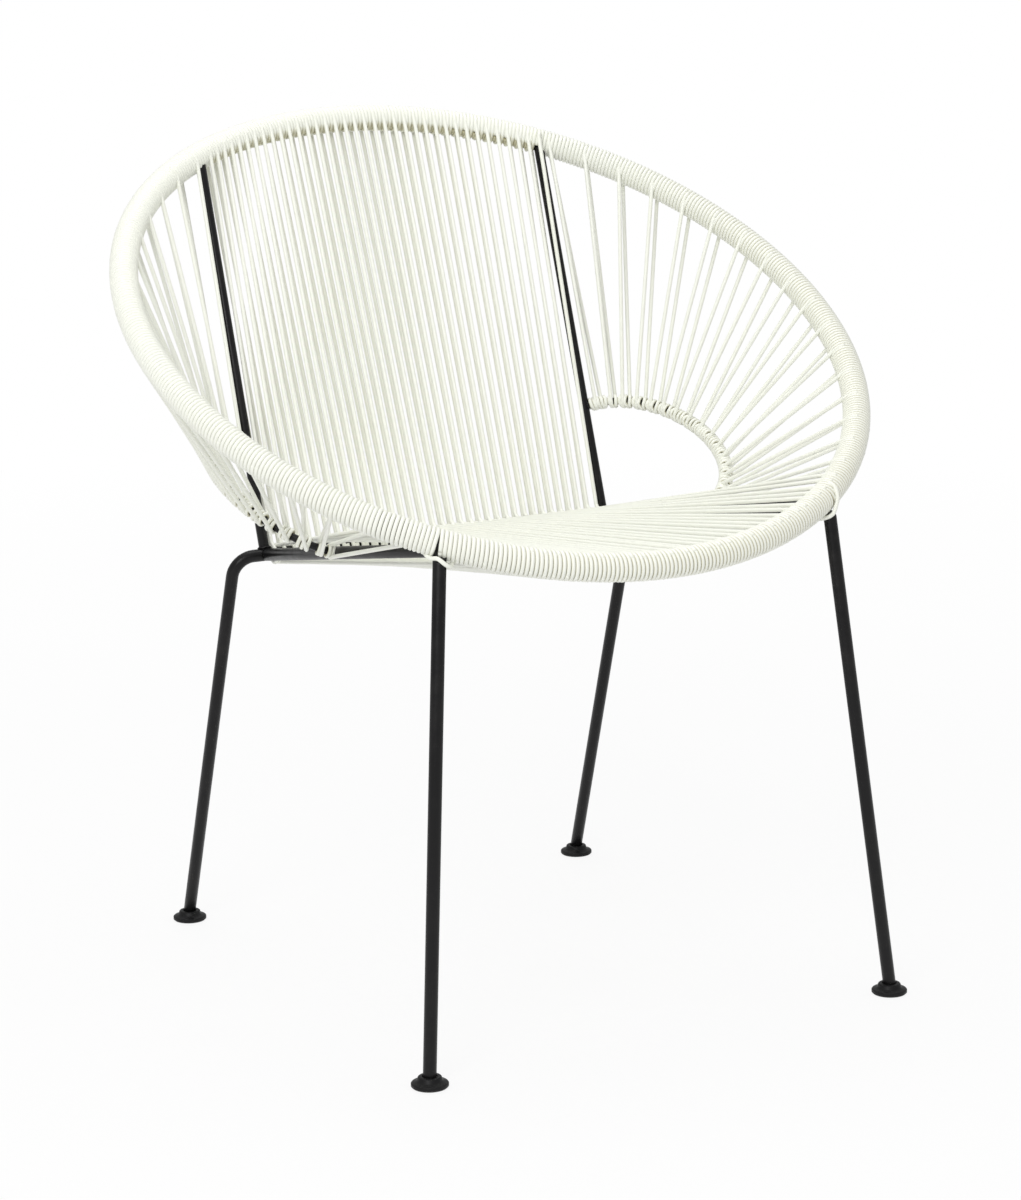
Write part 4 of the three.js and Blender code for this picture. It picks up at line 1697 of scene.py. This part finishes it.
    def _tone(self) -> float:
        """How warm one length of cord is."""
        return float(self.draws.uniform(*self.tones))

    def _stray(self, most: float) -> float:
        """How far one thing lies beside its place."""
        return float(self.draws.uniform(-most, most))

    def _rim_windings(self) -> None:
        """Four stretches of the winding of the rim."""
        sizes, winding, seam = self.sizes, self.winding, self.seam
        leg = math.radians(self.geometry.sizes.front_leg_angle)
        last = sizes.strand_turns * (sizes.back_strands - 1)
        near, far = round(winding.turn_at(leg)), round(winding.turn_at(2 * math.pi - leg))
        stretches = (
            ("right", winding.stretch(last + sizes.rear_turn - 1, near, self.buried)),
            ("front", winding.stretch(near, far)),
            ("left", winding.stretch(far, winding.turns_round + sizes.front_turn + seam)),
        )
        for word, line in stretches:
            made = CordMesh()
            # Painted shade in the grooves between turns, deepest at the right of the front.
            depth = winding.groove_depth(line)
            made.add(line, sizes.wound_radius, sizes.turn_sides, self.wound_tone, depth)
            self._dress(made, f"rim_winding_{word}", f"rim_wrap_{word}")
        made = CordMesh()
        for turn in range(0, last, sizes.strand_turns):
            low = turn + sizes.rear_turn - seam
            high = turn + sizes.strand_turns + sizes.front_turn + seam
            self._wind(made, winding.stretch(low, high), low, high)
            ring = winding.closed_turn(turn)
            self._wind(made, ring, sizes.rear_turn - 2, sizes.rear_turn - 1, True)
            bare_share = self.bare_least + self.bare_gain * (turn / last) ** 2
            is_bare = self.draws.uniform() < bare_share
            depth = float(self.draws.uniform(*self.sunk_depth))
            deep = winding.sunk_turn(turn, depth, self.opening if is_bare else 0.0)
            # Painted shade: the deeper cord is darkened all over, and fully in its grooves.
            made.add(
                deep, sizes.wound_radius, sizes.turn_sides, self.sunk_tone, 1.0, self.sunk_shade
            )
        self._dress(made, "rim_winding_back", "rim_wrap_back")

    def _wind(
        self, made: CordMesh, line: Line, low: float, high: float, closed: bool = False
    ) -> None:
        """Adds a length of the winding behind the back strands, with painted shade under each
        of them.

        Args:
            made: takes the cord.
            line: its middle line.
            low: where it begins round the tube, in turns.
            high: where it ends.
            closed: whether it closes on itself.
        """
        sizes, winding = self.sizes, self.winding
        # Painted shade under each strand's exit, and in the grooves between turns.
        shade_under_strand = winding.shade_under_strand(np.linspace(low, high, len(line.points), endpoint=not closed))
        depth = winding.groove_depth(line)
        tone = self.wound_tone
        made.add(line, sizes.wound_radius, sizes.turn_sides, tone, depth, shade_under_strand, closed)

    def _bar_point(self, x: float, angle: float) -> tuple[Array, Array]:
        """A point of a turn on the crossbar, and its crown: 0 is the rear, 90 the top.

        Args:
            x: its sideways place.
            angle: round the bar, degrees.

        Returns:
            The point and the crown.
        """
        crown = vec(0.0, math.cos(math.radians(angle)), math.sin(math.radians(angle)))
        places = self.geometry.sizes
        middle = vec(x, places.crossbar_y, places.crossbar_height)
        return middle + crown * self.bar_core, crown

    def _bar_turn(self, x_from: float, x_to: float, low: float, high: float) -> Line:
        """A stretch of a turn on the crossbar.

        Args:
            x_from: sideways place where it begins.
            x_to: where it ends.
            low: its first angle, degrees.
            high: its last angle, degrees.

        Returns:
            The line.
        """
        count = max(3, round(abs(high - low) / 18) + 1)
        places, angles = np.linspace(x_from, x_to, count), np.linspace(low, high, count)
        points, crowns = zip(*(self._bar_point(x, angle) for x, angle in zip(places, angles)))
        return Line(np.array(points), np.array(crowns))

    def _back(self) -> None:
        """Back strands: each comes down in front, goes under the crossbar and up behind."""
        made = CordMesh()
        sizes, winding = self.sizes, self.winding
        strand_stray, slant_stray, _, _ = self.strays
        bar_front, bar_rear = self.back_turn
        for i in range(sizes.back_strands):
            x = self.back_step * i - sizes.back_span + self._stray(strand_stray)
            first = sizes.strand_turns * i
            front_angle = float(winding.angle_at(first + sizes.front_turn))
            top, _ = self._bar_point(x, self.back_top)
            is_last = i == sizes.back_strands - 1
            down, start, knee = self._front_strand(top, front_angle, is_last)
            begins = x + self.drift
            path = down + self._dip(start, -knee, begins, down.crowns[-1])
            if is_last:
                path += self._bar_turn(begins, x + self.last_shift, bar_front, self.last_turn)
            else:
                slant = self.bar_slant + self._stray(slant_stray)
                turn = self._bar_turn(begins, x + slant, bar_front, bar_rear)
                rear_angle = float(winding.angle_at(first + sizes.rear_turn))
                backward = vec(0.0, 1.0, 0.0)
                up = winding.onto(turn.points[-1], rear_angle, backward, wrap=self.wrap)
                path = path + turn + up
            # Painted shade on the rear run, which lies behind the front run: none in front of
            # the crossbar, whole a little behind it.
            behind = np.clip((path.points[:, 1] - top[1]) / self.shade_depth, 0.0, 1.0)
            behind[: len(down.points)] = 0.0
            tone = self._tone()
            shade = behind * self.rear_shade
            made.add(path, sizes.radius, sizes.strand_sides, tone, shade=shade)
        self._dress(made, "back_strands", "back_cords")

    def _front_strand(
        self, top: Array, angle: float, over_rod: bool
    ) -> tuple[Line, Array, Array]:
        """The straight run of a front strand, from the rim down to the crossbar.

        Args:
            top: where its line meets the crossbar.
            angle: its place on the rim, radians.
            over_rod: whether it lies over the upright's end and bears on the rod.

        Returns:
            The line, its last place and the direction back up from there.
        """
        facing = vec(0.0, -1.0, 0.0)
        touch, _, _ = self.winding.landing(top, angle, facing)
        knee = unit(touch - top)
        start = top + knee * self.knee_start
        if over_rod:
            rod = self.over_rod
            line = self.winding.onto(start, angle, facing, rod.points, rod.wrap)
            line.points += line.crowns * rod.lift(len(line.points))
        else:
            line = self.winding.onto(start, angle, facing, wrap=self.wrap)
        return line.backwards(), start, knee

    def _dip(self, start: Array, run: Array, x: float, crown: Array) -> Line:
        """A front strand's bend from its straight run to the front of the crossbar.

        Args:
            start: end of the straight run.
            run: its direction there.
            x: sideways place where the turn begins.
            crown: the strand's crown.

        Returns:
            The line between the two.
        """
        bar_front = math.radians(self.back_turn[0])
        end, end_crown = self._bar_point(x, self.back_turn[0])
        toward = vec(0.0, -math.sin(bar_front), math.cos(bar_front))
        first = start + run * self.knee
        second = end - toward * self.knee
        shares = np.linspace(0.0, 1.0, 7)[:-1, None]
        rest = 1 - shares
        points = (
            start * rest**3
            + 3 * first * shares * rest**2
            + 3 * second * shares**2 * rest
            + end * shares**3
        )
        crowns = unit(crown * rest + end_crown * shares)
        return Line(points, crowns)

    def _seat(self) -> None:
        """Seat strands: an upper layer from over the crossbar, a lower one from below it."""
        upper, lower = CordMesh(), CordMesh()
        sizes, winding = self.sizes, self.winding
        half = math.pi - math.radians(sizes.seat_angle)
        half_under = math.pi - math.radians(sizes.under_angle)
        up, down = vec(0.0, 0.0, 1.0), vec(0.0, 0.0, -1.0)
        _, _, upper_stray, under_stray = self.strays
        for i in range(sizes.seat_strands):
            share = 2 * i / (sizes.seat_strands - 1) - 1
            x = self.span * share + self._stray(upper_stray)
            start, _ = self._bar_point(x, self.seat_turn[0])
            landing = math.pi - half * share + math.radians(self._stray(self.landing_stray))
            path = winding.onto(start, landing, up).backwards()
            if 0 < i < sizes.seat_strands - 1:
                path = path + self._seat_turn(x, i - 1)
            else:
                path = path + self._bar_turn(x, x + self.end_shift * share, *self.end_turn)
            upper.add(path, sizes.radius, sizes.strand_sides, self._tone())
        for i in range(sizes.under_strands):
            share = 2 * i / (sizes.under_strands - 1) - 1
            x = self.span * share + self.under_shift + self._stray(under_stray)
            turn = self._bar_turn(x, x, *self.under_turn)
            far = winding.onto(turn.points[-1], math.pi - half_under * share, down)
            lower.add(turn + far, sizes.radius, sizes.strand_sides, self._tone())
        self._dress(upper, "seat_strands_upper", "seat_cords_upper")
        self._dress(lower, "seat_strands_lower", "seat_cords_lower")

    def _seat_turn(self, x: float, gap: int) -> Line:
        """A seat cord's turn round the crossbar, up to the front between two back strands.

        Args:
            x: where it comes onto the bar's top.
            gap: number of the gap between back strands, from the left.

        Returns:
            The line.
        """
        front = self.back_step * (gap + 0.5) - self.sizes.back_span + self.seat_shift
        rear = front + self.bar_slant
        down = self._bar_turn(x, rear, *self.seat_turn)
        return down + self._bar_turn(rear, front, *self.seat_rise)

    def _ring_line(self, angle: Array, round_by: Array, lift: Array | float = 0.0) -> Line:
        """Points on the winding of the arm ring.

        Args:
            angle: round the ellipse, radians.
            round_by: round the rod, radians, 0 is outward and a quarter turn the normal.
            lift: over the other turns.

        Returns:
            The line.
        """
        run = self.geometry.ring_run(angle)
        normal = self.geometry.ring_normal
        out = np.cross(normal, run)
        crown = out * np.cos(round_by)[:, None] + normal * np.sin(round_by)[:, None]
        reach = (self.sizes.ring_core + lift) * np.ones_like(round_by)
        return Line(self.geometry.ring_point(angle) + crown * reach[:, None], crown)

    def _ring_winding(self, side: Side) -> None:
        """Groups of turns on an arm ring, with the rod showing between them.

        Args:
            side: of the chair.
        """
        fine = np.linspace(0.0, math.pi, self.ring_steps)
        steps = np.linalg.norm(np.diff(self.geometry.ring_point(fine), axis=0), axis=1)
        reach = np.concatenate(([0.0], np.cumsum(steps)))
        gaps = self._gaps(side)
        sizes = self.sizes
        made = CordMesh()
        for low, high in zip(gaps[:-1], gaps[1:]):
            start, stop = np.interp((low, high), fine, reach)
            open_by = self.openings.width(low, side)
            start, stop = start + open_by / 2, stop - open_by / 2
            count = max(2, round((stop - start) / (2 * sizes.wound_radius)))
            numbers = np.linspace(0.0, count, count * sizes.turn_steps + 1)
            round_by = 2 * math.pi * numbers + math.radians(sizes.ring_start)
            closed = self.openings.closed(low, round_by, side)
            # A turn keeps its place for three quarters of its way round, then moves on.
            rank = np.floor(numbers) + np.clip(numbers % 1.0 * 4 - 3, 0.0, 1.0)
            rank = np.minimum(rank, count - 1) * 2 / (count - 1) - 1
            half = (stop - start) / 2 - sizes.wound_radius
            places = (start + stop) / 2 + rank * (half + closed * open_by / 2)
            angle = np.interp(places, reach, fine)
            from_end = np.minimum(numbers, count - numbers)
            sunk = self.ring_sunk * np.clip(1 - from_end * self.ring_dive, 0.0, 1.0)
            line = self._sided(self._ring_line(angle, round_by, -sunk), side)
            # The 1.0 gives the grooves between turns their full painted shade.
            made.add(line, sizes.wound_radius, self.ring_sides, self.ring_tone, 1.0)
        self._dress(made, f"ring_winding_{side.word}", f"arm_ring_wrap_{side.word}")

    def _gaps(self, side: Side) -> Array:
        """Places of the gaps between the groups of turns on an arm ring, radians."""
        sizes = self.sizes
        return np.radians(sizes.ring_gaps if side is Side.RIGHT else sizes.ring_gaps_left)

    @staticmethod
    def _sided(line: Line, side: Side) -> Line:
        """A line of the right side on the given side."""
        turn = vec(side.value, 1.0, 1.0)
        return Line(line.points * turn, line.crowns * turn)

    def _side_cords(self, side: Side) -> None:
        """Pairs of cords from an arm ring to the rim.

        Args:
            side: of the chair.
        """
        made = CordMesh()
        gaps = self._gaps(side)
        rims = np.radians(np.linspace(self.sizes.side_from, self.sizes.side_to, len(gaps) - 1))
        if side is Side.LEFT:
            rims[-1] = math.radians(self.sizes.side_last_left)
        for low, high, rim in zip(gaps[:-1], gaps[1:], rims):
            for sign, share, lead in self.hitches:
                at = rim + math.radians(lead)
                inward = (self.geometry.normal - self.geometry.outward(at)) * sign
                line = self._side_cord(low + (high - low) * share, at, inward, side)
                made.add(line, self.sizes.radius, self.sizes.strand_sides, self._tone())
        self._dress(made, f"side_strands_{side.word}", f"side_cords_{side.word}")

    def _side_cord(self, hitch: float, rim: float, facing: Array, side: Side) -> Line:
        """One cord from the arm ring to the rim.

        Args:
            hitch: its place on the arm ring, radians.
            rim: its place on the rim, radians.
            facing: the side of the rim tube that it touches, on the right side.
            side: of the chair.

        Returns:
            The line.
        """
        run = self.geometry.ring_run(hitch)
        normal = self.geometry.ring_normal
        out = np.cross(normal, run)
        middle = self.geometry.ring_point(hitch)
        target = self.geometry.rim_point(rim)
        off = unit(np.cross(run, target - middle))
        off = -off if off.dot(facing) < 0 else off
        round_by = math.atan2(off.dot(normal), off.dot(out))
        start = middle + off * self.sizes.ring_core
        rising = normal * math.cos(round_by) - out * math.sin(round_by)
        sense = -1.0 if rising.dot(target - middle) > 0 else 1.0
        steps = np.linspace(math.radians(self.hitch_wrap), 0.0, 6)
        pitch = 2 * self.sizes.radius / (2 * math.pi) / self.geometry.sizes.ring_bulge
        along, lift = hitch + steps * pitch * 0.5, self.winding.lap_lift
        lap = self._sided(self._ring_line(along, round_by + sense * steps, lift), side)
        angle = rim if side is Side.RIGHT else 2 * math.pi - rim
        toward = self.winding.onto(mirrored(start, side), angle, mirrored(facing, side), 5)
        return lap + toward

    def _tie(self, side: Side) -> None:
        """A cord that crosses the top of a front leg and goes round the rim beside it.

        Args:
            side: of the chair.
        """
        places = self.geometry.sizes
        along, off, rise = np.array(TIE_ROUTES[side]).T
        angle = math.radians(places.front_leg_angle) + along / places.rim_radius
        crown = off[:, None] * self.geometry.leg_outward + rise[:, None] * vec(0.0, 0.0, 1.0)
        route = rounded(self.geometry.rim_point(angle) + crown, 5)
        line = self._sided(Line(route, rounded(crown, 5)), side)
        made = CordMesh()
        made.add(line, self.sizes.radius, self.sizes.strand_sides, self.tie_tone)
        self._dress(made, f"tie_loop_{side.word}", f"rim_tie_{side.word}")


@dataclass
class Glides:
    """Moulded glides under the four legs.

    Attributes:
        radius: of the disc, millimetres.
        collar: radius of the collar round the leg.
        bore: radius of the edge where the leg goes in.
        edge: width of the rounding under the disc.
        mouth: how far the middle lies below the collar's top.
        sides: corners round a glide.
        smooth_angle: faces that meet at less are smoothed, degrees.
    """

    geometry: Geometry
    finishes: Finishes
    radius: float = 16.5
    collar: float = 10.5
    bore: float = 6.8
    edge: float = 1.2
    mouth: float = 1.5
    sides: int = 48
    smooth_angle: float = 38.0

    def build(self) -> None:
        """Makes the four glides."""
        places = self.geometry.sizes
        for side in Side:
            for row, foot in (("front", places.front_foot), ("rear", places.rear_foot)):
                self._glide(row, side, foot)

    def _glide(self, row: str, side: Side, foot: tuple[float, float]) -> None:
        """One glide: a disc drawn up into a collar.

        Args:
            row: front or rear.
            side: of the chair.
            foot: sideways and lengthways place of its middle on the right side.
        """
        bpy.ops.object.select_all(action="DESELECT")
        centre = Vector((foot[0] * side.value * MM, foot[1] * MM, 0.0))
        radius = self.radius - self.edge
        bpy.ops.mesh.primitive_circle_add(
            vertices=self.sides, radius=radius * MM, fill_type="NGON", location=centre
        )
        piece = bpy.context.object
        bpy.ops.object.transform_apply(location=True, rotation=True, scale=True)
        bpy.ops.object.mode_set(mode="EDIT")
        bpy.ops.mesh.select_mode(type="FACE")
        bpy.ops.mesh.select_all(action="SELECT")
        # From the floor up: the radius of each ring, and its rise over the one before.
        profile = (
            (self.radius, self.edge),
            (self.radius, 2.2),
            (self.radius - 0.6, 0.7),
            (self.radius - 2.0, 0.5),
            (self.collar + 1.6, 0.7),
            (self.collar + 0.5, 1.1),
            (self.collar, 2.4),
            (self.collar - 0.7, 0.7),
            (self.collar - 1.6, 0.2),
            (self.bore, 0.0),
        )
        for wide, rise in profile:
            self._raise(rise)
            share = wide / radius
            bpy.ops.transform.resize(value=(share, share, 1.0), center_override=centre)
            radius = wide
        self._raise(-self.mouth)
        bpy.ops.mesh.select_all(action="SELECT")
        bpy.ops.mesh.remove_doubles(threshold=1e-6)
        bpy.ops.mesh.normals_make_consistent(inside=False)
        bpy.ops.object.mode_set(mode="OBJECT")
        piece.name = piece.data.name = f"glide_cap_{row}_{side.word}"
        bpy.ops.object.shade_smooth_by_angle(angle=math.radians(self.smooth_angle))
        dress(piece, self.finishes.glide, "glide", f"glide_{row}_{side.word}")

    @staticmethod
    def _raise(step: float) -> None:
        """Draws the selected face up by a step, millimetres."""
        move = {"value": (0.0, 0.0, step * MM)}
        bpy.ops.mesh.extrude_region_move(TRANSFORM_OT_translate=move)


@dataclass(frozen=True)
class Lamp:
    """A round area lamp: its name, place, width in metres and power in watts."""

    name: str
    place: Triple
    size: float
    power: float


@dataclass(frozen=True)
class Studio:
    """Floor, soft light and the camera, in metres and degrees.

    Attributes:
        azimuth: the camera's place round the chair, 0 is the front.
        elevation: its angle over the floor.
        roll: its turn about its line of sight.
        place: where it stands.
        lens: its focal length, millimetres.
        sensor: height of its sensor, millimetres.
        clip_start: nearest distance that it shows.
        world_strength: strength of the light from all round.
        floor_size: width of the floor.
        floor_drop: how far it lies below the glides.
        aim: what the lamps point at.
        lamps: a large key from the upper left, and a weaker one from above.
    """

    azimuth: float = -28.8697
    elevation: float = 11.799
    roll: float = -0.7801
    place: Triple = (-1.4558, -2.6593, 0.9807)
    lens: float = 97.44
    sensor: float = 36.0
    clip_start: float = 0.05
    world_strength: float = 0.6
    floor_size: float = 40.0
    floor_drop: float = 0.0002
    aim: Triple = (0.0, 0.0, 0.45)
    lamps: tuple[Lamp, ...] = (
        Lamp("key", (-1.9, -1.9, 2.3), 1.6, 44.0),
        Lamp("top", (0.3, 0.6, 3.0), 2.2, 26.0),
    )

    def build(self, finishes: Finishes) -> None:
        """Sets up the whole studio.

        Args:
            finishes: the floor's is used.
        """
        self._floor(finishes)
        self._world()
        for lamp in self.lamps:
            self._light(lamp)
        self._camera()
        bpy.context.scene.view_settings.view_transform = "Standard"

    def _floor(self, finishes: Finishes) -> None:
        """A wide pale floor just under the glides.

        Args:
            finishes: the floor's is used.
        """
        bpy.ops.object.select_all(action="DESELECT")
        middle = (0.0, 0.0, -self.floor_drop)
        bpy.ops.mesh.primitive_plane_add(size=self.floor_size, location=middle)
        floor = bpy.context.object
        floor.name = "studio_floor"
        floor.data.materials.append(finishes.floor)

    def _world(self) -> None:
        """Soft light all round, white where the camera looks past the floor."""
        world = bpy.data.worlds.new("studio_world")
        bpy.context.scene.world = world
        world.use_nodes = True
        tree = world.node_tree
        tree.nodes.clear()
        output = tree.nodes.new("ShaderNodeOutputWorld")
        soft, white = (tree.nodes.new("ShaderNodeBackground") for _ in range(2))
        for light, strength in ((soft, self.world_strength), (white, 1.0)):
            light.inputs["Color"].default_value = (1.0, 1.0, 1.0, 1.0)
            light.inputs["Strength"].default_value = strength
        mixed = tree.nodes.new("ShaderNodeMixShader")
        ray = tree.nodes.new("ShaderNodeLightPath")
        tree.links.new(ray.outputs["Is Camera Ray"], mixed.inputs[0])
        tree.links.new(soft.outputs[0], mixed.inputs[1])
        tree.links.new(white.outputs[0], mixed.inputs[2])
        tree.links.new(mixed.outputs[0], output.inputs["Surface"])

    def _light(self, lamp: Lamp) -> None:
        """One lamp, turned toward the chair.

        Args:
            lamp: its place, width and power.
        """
        light = bpy.data.lights.new(lamp.name, "AREA")
        light.shape = "DISK"
        light.size = lamp.size
        light.energy = lamp.power
        item = bpy.data.objects.new(lamp.name, light)
        bpy.context.scene.collection.objects.link(item)
        sight = Vector(self.aim) - Vector(lamp.place)
        turn = sight.to_track_quat("-Z", "Y").to_matrix().to_4x4()
        item.matrix_world = Matrix.Translation(lamp.place) @ turn

    def _camera(self) -> None:
        """The camera at the photograph's place."""
        azimuth, elevation, roll = map(math.radians, (self.azimuth, self.elevation, self.roll))
        back = Vector(
            (
                math.sin(azimuth) * math.cos(elevation),
                -math.cos(azimuth) * math.cos(elevation),
                math.sin(elevation),
            )
        )
        right = Vector((math.cos(azimuth), math.sin(azimuth), 0.0))
        up = back.cross(right)
        level = right * math.cos(roll) + up * math.sin(roll)
        plumb = up * math.cos(roll) - right * math.sin(roll)
        data = bpy.data.cameras.new("camera")
        data.sensor_fit = "VERTICAL"
        data.sensor_height = self.sensor
        data.lens = self.lens
        data.clip_start = self.clip_start
        camera = bpy.data.objects.new("camera", data)
        bpy.context.scene.collection.objects.link(camera)
        turn = Matrix((level, plumb, back)).transposed().to_4x4()
        camera.matrix_world = Matrix.Translation(self.place) @ turn
        bpy.context.scene.camera = camera


def main() -> None:
    """Builds the chair and its studio."""
    logging.basicConfig(level=logging.INFO, format="%(name)s: %(message)s")
    finishes = Finishes()
    geometry = Geometry(FrameSizes())
    Studio().build(finishes)
    SteelFrame(geometry, finishes).build()
    Stringing(geometry, finishes).build()
    Glides(geometry, finishes).build()


if __name__ == "__main__":
    main()
